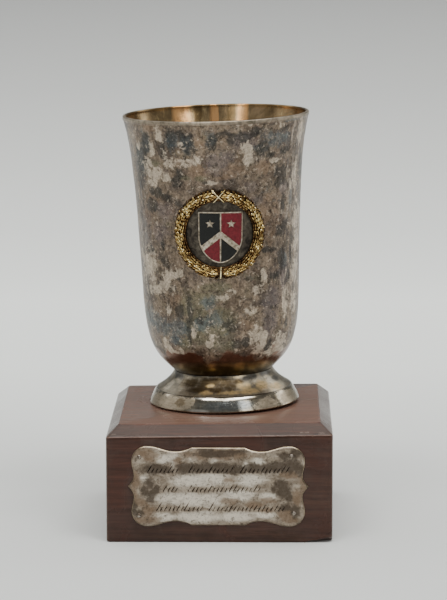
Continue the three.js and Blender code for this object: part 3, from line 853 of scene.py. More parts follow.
# More stains: degrees round, height, half width in degrees, half height in mm
footMarks = {
    "dark": [
        (140, 11, 14, 2), (-130, 11, 12, 2),
    ],
    "brown": [
        (130, 9, 40, 1.7), (-120, 9, 36, 1.6),
    ],
    "gold": [],
    "matte": [
        (120, 2.6, 30, 2.6), (-150, 2.6, 40, 2.6),
    ],
    # Across the band's middle: a painted dark reflection
    "cool": [
        (2, 2.7, 22.5, 1.9),
    ],
    "pale": [
        (-66, 7.4, 6, 1.6), (58, 7.6, 16, 2.6), (40, 9.6, 6, 1.2),
    ],
    # At the band's step and lower edge: painted highlights
    "glint": [
        (-14, 5.15, 10, 0.45), (14, 5.15, 10, 0.45), (-19, 0.8, 8, 0.7),
    ],
    "stain": [],
}


def footPiece(material):
    step = (foot["bandRadius"] - foot["step"], foot["bandHeight"] + foot["stepRise"])
    neck = (foot["neckRadius"], bowlHeightAt(foot["neckRadius"]) - foot["solderGap"])
    flare = bezier(step, foot["startSlope"], foot["pull"], neck, foot["endSlope"], foot["pull"], 60)
    rounding = foot["edgeRounding"]
    low = [
        (cup["footRadius"] - rounding + rounding * math.sin(math.radians(a)),
         rounding - rounding * math.cos(math.radians(a)))
        for a in (0, 30, 60, 90)
    ]
    shoulder = [(foot["bandRadius"] + out, foot["bandHeight"] + up) for out, up in foot["shoulder"]]
    lowSlope, highSlope = foot["bandLowSlope"], foot["bandHighSlope"]
    band = evenly(bezier(low[-1], lowSlope, 0.33, shoulder[0], highSlope, 0.33, 12), 0.5)
    inside = movedAside(evenly(flare, 1.5), -foot["wall"])[1:-1]
    neckIn = foot["neckRadius"] - foot["wall"]
    under = [(neckIn, bowlHeightAt(neckIn) - foot["solderGap"])] + inside[::-1] + [
        (foot["bandRadius"] - foot["wall"], foot["bandHeight"] - foot["stepRise"]),
        (cup["footRadius"] - foot["edgeWidth"], 0.0),
    ]
    outer = low + band[1:] + shoulder[1:] + evenly(flare, 0.45)
    points, faces = turned(outer + under, foot["sides"], closed=True)
    moved = []
    for x, y, z in points:
        waver = foot["waver"] * noise.noise(Vector((x, y, z)) / 7) * smoothStep(0.4, 2, z)
        radius = math.hypot(x, y)
        moved.append((x * (1 + waver / radius), y * (1 + waver / radius), z))
    piece = makePiece(
        "stainedFoot", [cupToRow(p) for p in moved], faces, material, "foot", 30,
    )
    for kind, placed in footMarks.items():
        seen = [placedMark(m, lambda x, y: seenOnWall(x, y, outer)) for m in footSeen.get(kind, [])]
        paint(piece, kind, lambda co, spots=seen + placed: bowlSpot(co, spots))
    paint(piece, "flare", lambda co: smoothStep(5.45, 5.7, roundAndUp(co)[1]))
    paint(piece, "seam", lambda co: 1.0 if abs(roundAndUp(co)[1] - 5.54) < 0.09 else 0.0)
    return piece


# Silver with brown stains, and a lower band that keeps most of its polish, a painted dark reflection
# across its middle and painted highlights at its step and lower edge
def stainedSilver():
    material, tree, shader = newMaterial("Stained silver foot")
    place = addNode(tree, "ShaderNodeTexCoord").outputs["Object"]
    blots = addNode(tree, "ShaderNodeTexNoise", {
        "Scale": 1000 / 4, "Detail": 6.0, "Roughness": 0.7, "Distortion": 0.7,
    }, {"Vector": place})
    specks = addNode(tree, "ShaderNodeTexNoise", {
        "Scale": 1000 / 1.0, "Detail": 4.0, "Roughness": 0.7,
    }, {"Vector": place})
    base = addNode(tree, "ShaderNodeValToRGB", {"stops": [
        (0.35, "#776f61"),
        (0.5, "#958c7a"),
        (0.65, "#ada38f"),
    ]}, {"Fac": blots.outputs["Fac"]})
    # Fine level lines left by turning and polishing
    level = addNode(tree, "ShaderNodeMapping", {"Scale": (0.08, 0.08, 1.0)}, {"Vector": place})
    brushed = addNode(tree, "ShaderNodeTexNoise", {
        "Scale": 1000 / 0.6, "Detail": 4.0, "Roughness": 0.65,
    }, {"Vector": level.outputs[0]})
    colour, areas = layFilms(tree, base.outputs["Color"], place, [
        # Painted dark reflection across the band's middle
        ("cool", "#7c8181", 6, 1.0, 0.4, 0.85, 0.5),
        ("matte", "#b9aa92", 3, 1.8, 0.3, 0.8, 0.5),
        ("pale", "#eadfc8", 3, 1.8, 0.5, 0.85, 0.5),
        ("brown", "#4a3b24", 3, 2.2, 0.5, 0.9, 0.45),
        ("gold", "#e2c690", 2.6, 2.8, 0.5, 0.8, 0.6),
        ("dark", "#4a4b4c", 2.4, 3.0, 0.4, 0.75, 0.5),
        ("stain", "#7a6a50", 1.6, 3.0, 0.2, 0.8, 0.6),
        # Painted highlights at the band's step and lower edge
        ("glint", "#f3eee4", 3, 0.8, 0.4, 0.6, 0.5),
        (None, "#5c5245", 1.8, 4.0, 0.2, 0.6, 0.5),
    ])
    colour = shadedBy(tree, colour, specks.outputs["Fac"], 0.5, [
        (0.35, 0.5), (0.45, 1.0), (0.62, 1.0), (0.72, 1.3),
    ])
    colour = shadedBy(tree, colour, brushed.outputs["Fac"], 0.6, [(0.38, 0.7), (0.5, 1.0), (0.62, 1.25)])
    seam = addNode(tree, "ShaderNodeAttribute", {"attribute_name": "seam"}).outputs["Fac"]
    colour = addNode(tree, "ShaderNodeMixRGB", {"Color2": hexToLinear("#4a4238")}, {
        "Fac": seam, "Color1": colour,
    }).outputs["Color"]
    tree.links.new(colour, shader.inputs["Base Color"])
    shader.inputs["Metallic"].default_value = 1.0
    dull = addNode(tree, "ShaderNodeAttribute", {"attribute_name": "flare"}).outputs["Fac"]
    plain = addNode(tree, "ShaderNodeMix", {"A": 0.12, "B": 0.36}, {"Factor": dull})
    rough = addNode(tree, "ShaderNodeMix", {"B": 0.42}, {"Factor": areas["matte"], "A": plain.outputs[0]})
    tree.links.new(rough.outputs[0], shader.inputs["Roughness"])
    grain = addNode(tree, "ShaderNodeMath", {"operation": "ADD"}, {
        0: specks.outputs["Fac"], 1: brushed.outputs["Fac"],
    })
    relief = addNode(tree, "ShaderNodeBump", {"Strength": 0.3, "Distance": 0.06 * mm}, {
        "Height": grain.outputs[0],
    })
    tree.links.new(relief.outputs[0], shader.inputs["Normal"])
    return material


footPiece(stainedSilver())
print("foot made")


# Medallion: disc, wreath and shield are drawn flat as across, up and out, then bent round the bowl

medallion = {
    "height": 67.7, "turn": 1.5, "discRadius": 15.6, "discThickness": 0.6, "seatGap": 0.2,
    "sides": 96, "rings": 16, "edgeBevel": 0.12,
}
seatLow = bowlRadiusAt(medallion["height"] - medallion["discRadius"])
seatHigh = bowlRadiusAt(medallion["height"] + medallion["discRadius"])


def straightWall(up):
    return mix(seatLow, seatHigh, (up + medallion["discRadius"]) / (2 * medallion["discRadius"]))


def wallBulge():
    bulge = 0.0
    for radius, height in bowlLine:
        up = height - medallion["height"]
        if abs(up) < medallion["discRadius"]:
            bulge = max(bulge, radius - straightWall(up))
    return bulge


seatOut = medallion["seatGap"] + wallBulge()
seatRadius = straightWall(0) + seatOut
onDisc = medallion["discThickness"] + medallion["seatGap"]


def bentRoundWall(point):
    across, up, out = point
    turn = math.radians(medallion["turn"]) + across / seatRadius
    radius = straightWall(up) + seatOut + out
    return cupToRow((radius * math.sin(turn), -radius * math.cos(turn), medallion["height"] + up))


def discPiece(material):
    radius, thickness, bevel = (medallion[k] for k in ("discRadius", "discThickness", "edgeBevel"))
    rings = medallion["rings"]
    radii = [radius * i / rings for i in range(rings + 1)]
    top = [(r, thickness) for r in radii[:-1]]
    edge = [(radius - bevel, thickness), (radius, thickness - bevel), (radius, 0.0)]
    profile = top + edge + [(r, 0.0) for r in radii[-2::-1]]
    points, faces = turned(profile, medallion["sides"])
    return makePiece(
        "oxidisedDisc", [bentRoundWall(p) for p in points], faces, material,
        "medallion_disc", 40,
    )


# Oxidised silver: near-black brown with green-grey mottles where the film is thinner
def oxidisedSilver():
    material, tree, shader = newMaterial("Oxidised silver disc")
    place = addNode(tree, "ShaderNodeTexCoord").outputs["Object"]
    mottles = addNode(tree, "ShaderNodeTexNoise", {
        "Scale": 1000 / 2.2, "Detail": 5.0, "Roughness": 0.7, "Distortion": 0.5,
    }, {"Vector": place})
    colour = addNode(tree, "ShaderNodeValToRGB", {"stops": [
        (0.34, "#25211d"),
        (0.5, "#443e36"),
        (0.64, "#5c554a"),
        (0.76, "#8c8272"),
    ]}, {"Fac": mottles.outputs["Fac"]})
    tree.links.new(colour.outputs["Color"], shader.inputs["Base Color"])
    shader.inputs["Metallic"].default_value = 0.85
    shader.inputs["Roughness"].default_value = 0.42
    relief = addNode(tree, "ShaderNodeBump", {"Strength": 0.5, "Distance": 0.08 * mm}, {
        "Height": mottles.outputs["Fac"],
    })
    tree.links.new(relief.outputs[0], shader.inputs["Normal"])
    return material


discPiece(oxidisedSilver())

wreath = {
    "inner": 12.0, "outer": 16.5, "band": 0.7, "tieMargin": 2.5, "stemMargin": 3.0,
    "rows": [
        {"radius": 16.3, "splay": -24, "rise": -0.35, "length": 2.1, "width": 0.82},
        {"radius": 15.55, "splay": -12, "rise": 0.1, "length": 2.2, "width": 0.84},
        {"radius": 14.8, "splay": 0, "rise": 0.25, "length": 2.2, "width": 0.84},
        {"radius": 14.05, "splay": 12, "rise": 0.1, "length": 2.1, "width": 0.84},
        {"radius": 13.35, "splay": 20, "rise": 0.0, "length": 2.0, "width": 0.82},
        {"radius": 12.7, "splay": 30, "rise": -0.3, "length": 1.8, "width": 0.76},
    ],
    "pitch": 1.5, "leafHeight": 0.9, "ridge": 0.4, "berry": 0.36, "wire": 0.28,
    "stemWidth": 0.36, "stemSpread": 38.0, "stemReach": 2.9, "tieWidth": 0.5,
}


# A pointed leaf with a raised midrib, its tip lifted, as a closed loft
def leafShape(length, width, low, edge):
    stations = 9
    # Half of a leaf's section, from edge to edge: across, and up as a share of the midrib's height
    section = [(-1, -0.22), (-0.62, 0.1), (-0.2, 0.16), (0, 1.0), (0.2, 0.16), (0.62, 0.1), (1, -0.22)]
    ring = len(section) + 1
    points, faces = [], []
    for i in range(stations):
        t = i / (stations - 1)
        half = width / 2 * max(math.sin(math.pi * min(t ** 0.8, 1.0)) ** 0.75, 0.06)
        lift = mix(-0.35, 0.25, t) + 0.12 * math.sin(math.pi * t)
        rib = wreath["ridge"] * math.sin(math.pi * mix(0.12, 0.92, t))
        x = (t - 0.5) * length
        top = edge + lift
        points += [(x, half * y, top + (rib * z if z > 0 else 0.3 * z)) for y, z in section]
        points.append((x, 0.0, low))
    for i in range(stations - 1):
        for k in range(ring):
            a, b = i * ring + k, i * ring + (k + 1) % ring
            faces.append((a, b, b + ring, a + ring))
    faces.append(tuple(range(ring)))
    last = (stations - 1) * ring
    faces.append(tuple(last + k for k in reversed(range(ring))))
    return points, faces


def placed(shape, turn, x, y, tilt=0.0):
    points, faces = shape
    sine, cosine = math.sin(turn), math.cos(turn)
    return [
        (x + px * cosine - py * sine, y + px * sine + py * cosine, pz + tilt * py)
        for px, py, pz in points
    ], faces


# A round wire between two points of the flat drawing
def wireShape(start, end, radius, out, sag=0.0, steps=10, sides=8):
    points, faces = [], []
    dx, dy = end[0] - start[0], end[1] - start[1]
    length = math.hypot(dx, dy)
    for i in range(steps + 1):
        t = i / steps
        x, y = mix(start[0], end[0], t), mix(start[1], end[1], t)
        height = out - sag * (2 * t - 1) ** 2
        for k in range(sides):
            a = 2 * math.pi * k / sides
            side = radius * math.cos(a)
            up = height + radius * math.sin(a)
            points.append((x - dy / length * side, y + dx / length * side, up))
    for i in range(steps):
        for k in range(sides):
            a, b = i * sides + k, i * sides + (k + 1) % sides
            faces.append((a, b, b + sides, a + sides))
    faces.append(tuple(range(sides)))
    faces.append(tuple(steps * sides + k for k in reversed(range(sides))))
    return points, faces


def berryShape(radius, x, y, out):
    profile = [
        (radius * math.sin(math.radians(a)), out - radius * math.cos(math.radians(a)))
        for a in (0, 36, 72, 108, 144, 180)
    ]
    profile[0] = (0.0, profile[0][1])
    profile[-1] = (0.0, profile[-1][1])
    points, faces = turned(profile, 8)
    return [(px + x, py + y, pz) for px, py, pz in points], faces


# One row of a branch, from the tie up to the stems, with a berry at every fifth leaf
def leafRow(side, number, row, dice):
    leafLow, leafTop = onDisc + 0.2, onDisc + wreath["leafHeight"]
    pitch = math.degrees(wreath["pitch"] / row["radius"])
    half = math.degrees(row["length"] / 2 / row["radius"])
    span = 180 - wreath["tieMargin"] - wreath["stemMargin"] - 2 * half
    count = round(span / pitch)
    shapes = []
    for i in range(count + 1):
        along = wreath["tieMargin"] + half + (i + 0.5 * (number % 2)) * span / (count + 0.5)
        along += dice.uniform(-0.7, 0.7)
        angle = math.radians(-90 + side * along)
        splay = row["splay"] + dice.uniform(-9, 9)
        heading = angle + side * math.radians(90 + splay)
        rise = row["rise"] + dice.uniform(-0.12, 0.12)
        shape = leafShape(
            row["length"] * dice.uniform(0.92, 1.08), row["width"] * dice.uniform(0.9, 1.1),
            leafLow, leafTop + rise,
        )
        radius = row["radius"] + dice.uniform(-0.12, 0.12)
        x, y = radius * math.cos(angle), radius * math.sin(angle)
        shapes.append(placed(shape, heading, x, y, dice.uniform(-0.25, 0.25)))
        if (i + number) % 5 == 2:
            off = math.radians(-90 + side * (along + pitch * 0.5))
            x, y = radius * math.cos(off), radius * math.sin(off)
            shapes.append(berryShape(wreath["berry"], x, y, leafTop + rise + 0.35))
    return shapes


def wreathPiece(material):
    dice = random.Random(4)
    low = onDisc
    middle = (wreath["inner"] + wreath["outer"]) / 2
    band = [
        (wreath["inner"] + 0.6, low), (wreath["outer"] - 0.5, low),
        (wreath["outer"] - 0.4, low + wreath["band"] * 0.4),
        (middle, low + wreath["band"]), (wreath["inner"] + 0.65, low + wreath["band"] * 0.7),
    ]
    shapes = [turned(band, 160, closed=True)]
    ringWire = [
        (wreath["inner"] + 0.5 + wreath["wire"] * math.cos(a), low + wreath["wire"] * (1 + math.sin(a)))
        for a in [math.radians(45 * i) for i in range(8)]
    ]
    shapes.append(turned(ringWire, 160, closed=True))
    for side in (-1, 1):
        for number, row in enumerate(wreath["rows"]):
            shapes += leafRow(side, number, row, dice)
    tieTop = low + wreath["leafHeight"] + 0.9
    shapes.append(wireShape(
        (0.15, -wreath["inner"] + 0.1), (-0.15, -wreath["outer"] + 0.1),
        wreath["tieWidth"] / 2, tieTop, 0.7,
    ))
    reach = wreath["stemReach"]
    for side in (-1, 1):
        x = side * reach * math.tan(math.radians(wreath["stemSpread"]))
        shapes.append(wireShape(
            (-x * 0.8, middle - reach * 0.8), (x, middle + reach * 0.8), wreath["stemWidth"] / 2,
            tieTop + 0.05 * side, 0.45,
        ))
    points, faces = joined(shapes)
    top = max(p[2] for p in points)
    piece = makePiece(
        "giltWreath", [bentRoundWall(p) for p in points], faces, material, "laurel_wreath", 55,
    )
    paint(piece, "above", lambda co: wreathHeight(co, low, top))
    return piece


def wreathHeight(co, low, top):
    _, up, radius = roundAndUp(co)
    return min(max((radius - straightWall(up - medallion["height"]) - seatOut - low) / (top - low), 0), 1)


# Fire gilding, bright on the leaf tips and worn to coppery brown in the hollows; the near-black low end of
# the ramp, by height, is painted shade in the hollows
def wornShadedGilding():
    material, tree, shader = newMaterial("Worn fire gilding with painted shade")
    place = addNode(tree, "ShaderNodeTexCoord").outputs["Object"]
    above = addNode(tree, "ShaderNodeAttribute", {"attribute_name": "above"}).outputs["Fac"]
    patches = addNode(tree, "ShaderNodeTexNoise", {
        "Scale": 1000 / 2.6, "Detail": 4.0, "Roughness": 0.6,
    }, {"Vector": place})
    share = addNode(tree, "ShaderNodeMath", {"operation": "MULTIPLY_ADD", 1: 0.9, 2: -0.42}, {
        0: patches.outputs["Fac"],
    })
    total = addNode(tree, "ShaderNodeMath", {"operation": "ADD"}, {0: share.outputs[0], 1: above})
    colour = addNode(tree, "ShaderNodeValToRGB", {"stops": [
        (0.2, "#2a1d14"),
        (0.4, "#63482c"),
        (0.54, "#93784c"),
        (0.68, "#ccb47a"),
        (0.88, "#f2e4b8"),
    ]}, {"Fac": total.outputs[0]})
    tree.links.new(colour.outputs["Color"], shader.inputs["Base Color"])
    shader.inputs["Metallic"].default_value = 1.0
    shader.inputs["Roughness"].default_value = 0.2
    return material


wreathPiece(wornShadedGilding())
print("wreath made")

shield = {
    "width": 15.7, "height": 19.0, "straight": 9.3, "thickness": 1.0, "drop": 1.2, "across": 0.28,
    "tilt": -1.7, "border": 0.55, "enamelDepth": 0.3, "bevel": 0.12, "grid": 0.6,
    "chevronPeak": 2.6, "chevronBand": 2.0, "chevronSlope": 40.0, "parting": 0.5,
    "starRadius": 1.75, "starWaist": 0.42, "starRaise": 5.1, "starAcross": 3.7,
    # How far pieces run into one another, the border's rounding, and the enamel's thickness
    "overlap": 0.1, "lipIn": 0.16, "lipDrop": 0.2, "enamel": 0.16,
}


def shieldOutline(inset, steps=14):
    half = shield["width"] / 2 - inset
    top = shield["height"] / 2 - inset
    shoulder = shield["height"] / 2 - shield["straight"]
    point = -shield["height"] / 2 + inset
    corners = ((half, shoulder), (half, (shoulder + point) / 2), (half / 2, point), (0.0, point))
    right = []
    for i in range(steps + 1):
        t = i / steps
        weights = ((1 - t) ** 3, 3 * t * (1 - t) ** 2, 3 * t * t * (1 - t), t ** 3)
        right.append(tuple(sum(w * c[k] for w, c in zip(weights, corners)) for k in (0, 1)))
    left = [(-x, y) for x, y in right[-2::-1]]
    return [(half, top)] + right + left + [(-half, top)]


def placeOnShield(point):
    x, y, out = point
    sine, cosine = math.sin(math.radians(shield["tilt"])), math.cos(math.radians(shield["tilt"]))
    return bentRoundWall((
        shield["across"] + x * cosine - y * sine,
        -shield["drop"] + x * sine + y * cosine,
        onDisc + out,
    ))


# The part of an outline on one side of a straight line
def clipped(outline, point, direction):
    kept = []
    for one, other in zip(outline, outline[1:] + outline[:1]):
        a = (one[0] - point[0]) * direction[0] + (one[1] - point[1]) * direction[1]
        b = (other[0] - point[0]) * direction[0] + (other[1] - point[1]) * direction[1]
        if a >= 0:
            kept.append(one)
        if (a >= 0) != (b >= 0):
            kept.append(tuple(mix(p, q, a / (a - b)) for p, q in zip(one, other)))
    return kept


def starOutline(across, up):
    corners = []
    for i in range(10):
        radius = shield["starRadius"] * (1.0 if i % 2 == 0 else shield["starWaist"])
        angle = math.radians(90 + 36 * i)
        corners.append((across + radius * math.cos(angle), up + radius * math.sin(angle)))
    return corners


def chevronOutline(inset):
    half = shield["width"] / 2 - inset
    slope = math.tan(math.radians(shield["chevronSlope"]))
    band = shield["chevronBand"] / math.cos(math.radians(shield["chevronSlope"]))
    peak = shield["chevronPeak"]
    return [
        (0, peak), (-half, peak - half * slope), (-half, peak - half * slope - band),
        (0, peak - band), (half, peak - half * slope - band), (half, peak - half * slope),
    ]


def keptInside(figure, edge):
    for one, other in zip(edge, edge[1:] + edge[:1]):
        figure = clipped(figure, one, (other[1] - one[1], one[0] - other[0]))
    return figure


def shieldPieces(silver, red, black):
    floor = shield["thickness"] - shield["enamelDepth"]
    top = shield["thickness"]
    outer = shieldOutline(0)
    shapes = [plate(denser(outer, 0.6), 0.0, floor, 0.05, 0.9)]
    # The raised border follows the outline
    count = len(outer)
    border, overlap = shield["border"], shield["overlap"]
    lipIn, lipFoot = shield["lipIn"], top - shield["lipDrop"]
    rings = []
    for inset, height in (
        (0.0, floor - overlap), (0.0, lipFoot), (lipIn, top), (border - lipIn, top),
        (border, lipFoot), (border, floor - overlap),
    ):
        rings.append([(x, y, height) for x, y in shieldOutline(inset)])
    points = [p for ring in rings for p in ring]
    faces = []
    for level in range(len(rings)):
        for i in range(count):
            k = (i + 1) % count
            low, high = level * count, ((level + 1) % len(rings)) * count
            faces.append((low + i, low + k, high + k, high + i))
    shapes.append((points, faces))
    half = shield["parting"] / 2
    reach = shield["height"] / 2 - border / 2
    slope = math.radians(shield["chevronSlope"])
    band = shield["chevronBand"] / math.cos(slope)
    peak, notch = shield["chevronPeak"], shield["chevronPeak"] - band
    chevron = keptInside(chevronOutline(border / 2), shieldOutline(border / 2))
    upper = [(-half, peak - 0.3), (half, peak - 0.3), (half, reach), (-half, reach)]
    lower = [(-half, -reach), (half, -reach), (half, notch + 0.1), (-half, notch + 0.1)]
    stars = [starOutline(side * shield["starAcross"], shield["starRaise"]) for side in (-1, 1)]
    for figure in (chevron, upper, lower, *stars):
        height = top + 0.02 if figure is chevron else top  # so that crossing faces don't coincide
        shapes.append(plate(denser(figure, 0.6), floor - overlap, height, shield["bevel"], shield["grid"]))
    points, faces = joined(shapes)
    makePiece(
        "silverShield", [placeOnShield(p) for p in points], faces, silver, "shield", 35,
    )
    # Enamel cells, filled a little below the silver lines
    level = floor + shield["enamel"]
    cell = shieldOutline(border - overlap)
    cells = {"redEnamel": [], "blackEnamel": []}
    for side in (-1, 1):
        sideCell = clipped(cell, (0, 0), (side, 0))
        above = (-side * math.sin(-slope), math.cos(slope))
        upperCell = clipped(sideCell, (0, peak - 1.0), above)
        lowerCell = clipped(sideCell, (0, notch + 1.0), (-above[0], -above[1]))
        cells["blackEnamel" if side < 0 else "redEnamel"].append(upperCell)
        cells["redEnamel" if side < 0 else "blackEnamel"].append(lowerCell)
    for name, outlines in cells.items():
        fills = [plate(denser(o, 0.5), floor - 0.05, level, 0.04, shield["grid"]) for o in outlines]
        points, faces = joined(fills)
        material = red if name == "redEnamel" else black
        makePiece(name, [placeOnShield(p) for p in points], faces, material, None, 35)


# Silver lines of the shield, mottled pale and brown
def lineSilver():
    material, tree, shader = newMaterial("Worn shield silver")
    place = addNode(tree, "ShaderNodeTexCoord").outputs["Object"]
    wear = addNode(tree, "ShaderNodeTexNoise", {
        "Scale": 1000 / 1.2, "Detail": 4.0, "Roughness": 0.65,
    }, {"Vector": place})
    colour = addNode(tree, "ShaderNodeValToRGB", {"stops": [
        (0.34, "#6f6454"), (0.5, "#ab9f8c"), (0.68, "#cdc3b2"),
    ]}, {"Fac": wear.outputs["Fac"]})
    tree.links.new(colour.outputs["Color"], shader.inputs["Base Color"])
    shader.inputs["Metallic"].default_value = 1.0
    shader.inputs["Roughness"].default_value = 0.34
    return material


# Vitreous enamel: deep colour under a glassy face with faint grain
def glassEnamel(name, deep, light):
    material, tree, shader = newMaterial(name)
    place = addNode(tree, "ShaderNodeTexCoord").outputs["Object"]
    grain = addNode(tree, "ShaderNodeTexNoise", {
        "Scale": 1000 / 0.9, "Detail": 4.0, "Roughness": 0.65,
    }, {"Vector": place})
    colour = addNode(tree, "ShaderNodeValToRGB", {"stops": [
        (0.35, deep), (0.7, light),
    ]}, {"Fac": grain.outputs["Fac"]})
    tree.links.new(colour.outputs["Color"], shader.inputs["Base Color"])
    shader.inputs["Roughness"].default_value = 0.3
    shader.inputs["Specular IOR Level"].default_value = 0.25
    return material


shieldPieces(
    lineSilver(),
    glassEnamel("Ruby red enamel", "#520f17", "#711c25"),
    glassEnamel("Black enamel", "#0a0b0a", "#171815"),
)
print("shield made")


# Plaque, drawn flat as across, up and out from its middle, and its pins

plaque = {
    "width": 66.0, "height": 30.0, "thickness": 0.9, "bevel": 0.35, "across": -0.4, "above": 21.2,
    "nibReach": 1.3, "waistInset": 0.9, "waistHeight": 3.8, "lobeRadius": 5.6,
    "dipAcross": 15.6, "dipDepth": 2.0, "flatAcross": 9.7, "flatDepth": 0.5, "grid": 0.9,
}
inscription = {
    "depth": 0.2, "width": 0.52, "slant": 31.0, "pitch": 1.5, "hook": 0.7,
    "heights": [4.0, 2.3, 2.6, 2.2, 2.5, 3.6, 2.4, 2.1, 2.7, 2.3, 3.3],
    "rows": [
        (5.0, [(-26, -15), (-11, 4), (8, 25)]),
        (-2.1, [(-20.2, -14.8), (-11.2, 15.2)]),
        (-9.3, [(-22.8, -13.8), (-12.6, -6.4), (-3.6, 24.2)]),
    ],
}
pins = {
    "headRadius": 0.8, "headHeight": 0.5, "dimple": 0.15, "shank": 0.4, "length": 8.0, "point": 1.2,
    "headGap": 0.05, "sides": 24,
    "corners": [(-1, 1, 4.1, 4.0), (-1, -1, 4.0, 4.1), (1, 1, 6.2, 3.5), (1, -1, 5.2, 5.1)],
}


def plaqueOutline():
    side = plaque["width"] / 2 - plaque["nibReach"]
    top = plaque["height"] / 2
    nib = (plaque["width"] / 2, 0.0)
    waist = (side - plaque["waistInset"], plaque["waistHeight"])
    lobeSide = (side, top - plaque["lobeRadius"])
    lobeTop = (side - plaque["lobeRadius"], top)
    dip = (plaque["dipAcross"], top - plaque["dipDepth"])
    flat = (plaque["flatAcross"], top - plaque["flatDepth"])
    quarter = bezier(nib, 135, 0.25, waist, 90, 0.35, 10)
    quarter += bezier(waist, 90, 0.35, lobeSide, 90, 0.35, 10)[1:]
    quarter += bezier(lobeSide, 90, 0.39, lobeTop, 180, 0.39, 12)[1:]
    quarter += bezier(lobeTop, 180, 0.4, dip, 180, 0.4, 14)[1:]
    quarter += bezier(dip, 180, 0.4, flat, 155, 0.3, 10)[1:]
    upperLeft = [(-x, y) for x, y in quarter[::-1]]
    lowerLeft = [(-x, -y) for x, y in quarter[1:]]
    lowerRight = [(x, -y) for x, y in quarter[1:]][::-1]
    return quarter + upperLeft + lowerLeft + lowerRight


# Cuts that only suggest writing: slanting strokes of mixed heights, with pointed ends
def inscriptionGrooves():
    dice = random.Random(9)
    grooves = []
    lean = math.tan(math.radians(inscription["slant"]))
    for baseline, words in inscription["rows"]:
        for start, end in words:
            count = int((end - start) / inscription["pitch"]) + 1
            for i in range(count):
                tall = inscription["heights"][i % len(inscription["heights"])] * dice.uniform(0.92, 1.08)
                x = start + i * inscription["pitch"] + dice.uniform(-0.1, 0.1)
                width = inscription["width"] * dice.uniform(0.75, 1.1)
                hook = inscription["hook"] * dice.uniform(0.6, 1.0) * (i < count - 1)
                line = [
                    (x + lean * tall, baseline + tall), (x + lean * tall * 0.55, baseline + tall * 0.55),
                    (x + lean * 0.35, baseline + 0.38), (x + 0.2, baseline + 0.04),
                    (x + 0.28 + hook, baseline + 0.4),
                ]
                grooves.append(grooveAlong(line, width))
    return grooves


# A pointed groove: its middle line goes deep, its edge stays on the surface
def grooveAlong(line, width):
    normals = lineNormals(line)
    swell = [0.0, 1.0, 0.9, 0.55, 0.0]
    right, left = (
        [(p[0] + n[0] * reach * s, p[1] + n[1] * reach * s) for p, n, s in zip(line, normals, swell)]
        for reach in (width / 2, -width / 2)
    )
    return {"line": line[1:-1], "edge": right + left[-2:0:-1]}


def onPlaque(point):
    x, y, out = point
    return (plaque["across"] + x, -block["depth"] / 2 - out, plaque["above"] + y)


# Tarnish on the plaque as the photograph shows it: across, down, half width and half height in pixels
plaqueSeen = {
    "dark": [
        (149, 484, 5, 6), (145, 491, 5, 6), (152, 494, 5, 5), (157, 490, 2.5, 5), (150, 501, 5, 2.5),
        (281, 486, 8, 6), (284, 492, 8, 6), (274, 490, 4, 4), (289, 497, 4, 5), (133, 508, 4, 7),
        (139, 514, 5, 4), (295, 512, 5, 7), (285, 508, 6, 4), (296, 453, 7, 5), (285, 456, 7, 4),
        (230, 452, 18, 2.5), (215, 455, 20, 3), (205, 450, 8, 2.5),
    ],
    "brown": [
        (140, 452, 13, 5), (150, 456, 9, 5), (135, 480, 4, 9), (133, 495, 4, 8), (140, 503, 6, 5),
        (148, 510, 7, 5), (137, 521, 9, 3), (150, 519, 9, 3), (285, 515, 8, 5), (297, 498, 5, 8),
        (303, 485, 3, 11), (290, 475, 8, 4), (270, 500, 8, 3), (222, 455, 28, 5), (200, 455, 18, 5),
        (178, 463, 4, 7), (228, 480, 5, 2.5), (230, 501, 9, 3), (255, 505, 9, 3), (266, 511, 7, 3),
        (290, 520, 9, 3),
    ],
    "bright": [
        (163, 459, 8, 5), (172, 456, 6, 4), (175, 465, 4, 3), (193, 459, 5, 3), (213, 460, 4, 4),
        (258, 461, 6, 3), (246, 465, 3, 3), (205, 480, 28, 6), (183, 482, 11, 5), (250, 480, 15, 5),
        (180, 498, 28, 5), (200, 500, 28, 6), (268, 497, 8, 4), (240, 495, 13, 5), (200, 517, 27, 5),
        (235, 517, 19, 4), (165, 517, 11, 4), (262, 515, 11, 3), (143, 478, 5, 2.5),
    ],
}
# More of it: across and up from the plaque's middle, half width and half height in mm
plaqueMarks = {
    "dark": [
        (-23.8, 6.6, 5, 2), (-19.6, 6.2, 2.6, 1.7), (-11.7, 6.8, 4.4, 2), (-4.8, 7.2, 4.6, 2),
        (1.4, 7, 4.8, 2.3), (6.7, 6.4, 4, 2), (12, 7.2, 3, 2), (16, 6.8, 4, 1.8),
        (21.5, 7.5, 4.4, 2.4), (27, 7.9, 3.2, 3), (29.9, 6.4, 1.8, 2.4),
    ],
    "brown": [],
    "bright": [],
}


def plaquePiece(material):
    outline = denser(plaqueOutline(), 0.8)
    thickness, bevel = plaque["thickness"], plaque["bevel"]
    points, faces = plate(
        outline, 0.0, thickness, bevel, plaque["grid"], inscriptionGrooves(), inscription["depth"],
    )
    piece = makePiece(
        "engravedPlaque", [onPlaque(p) for p in points], faces, material, "plaque", 25,
    )
    for kind, placed in plaqueMarks.items():
        seen = [placedMark(mark, seenOnPlaque) for mark in plaqueSeen.get(kind, [])]
        paint(piece, kind, lambda co, spots=seen + placed: spotStrength(
            spots, co[0] - plaque["across"], co[2] - plaque["above"],
        ))
    paint(piece, "cut", lambda co: smoothStep(0.02, 0.12, cutDepth(co)))
    paint(piece, "edge", lambda co: smoothStep(0.05, 0.2, bevelDepth(co)))
    return piece


# Where the line of sight meets the plaque's face: across and up from its middle
def seenOnPlaque(x, y):
    start, way = sightThrough(x, y)
    face = -block["depth"] / 2 - plaque["thickness"]
    place = start + way * ((face - start[1]) / way[1])
    return place[0] - plaque["across"], place[2] - plaque["above"]


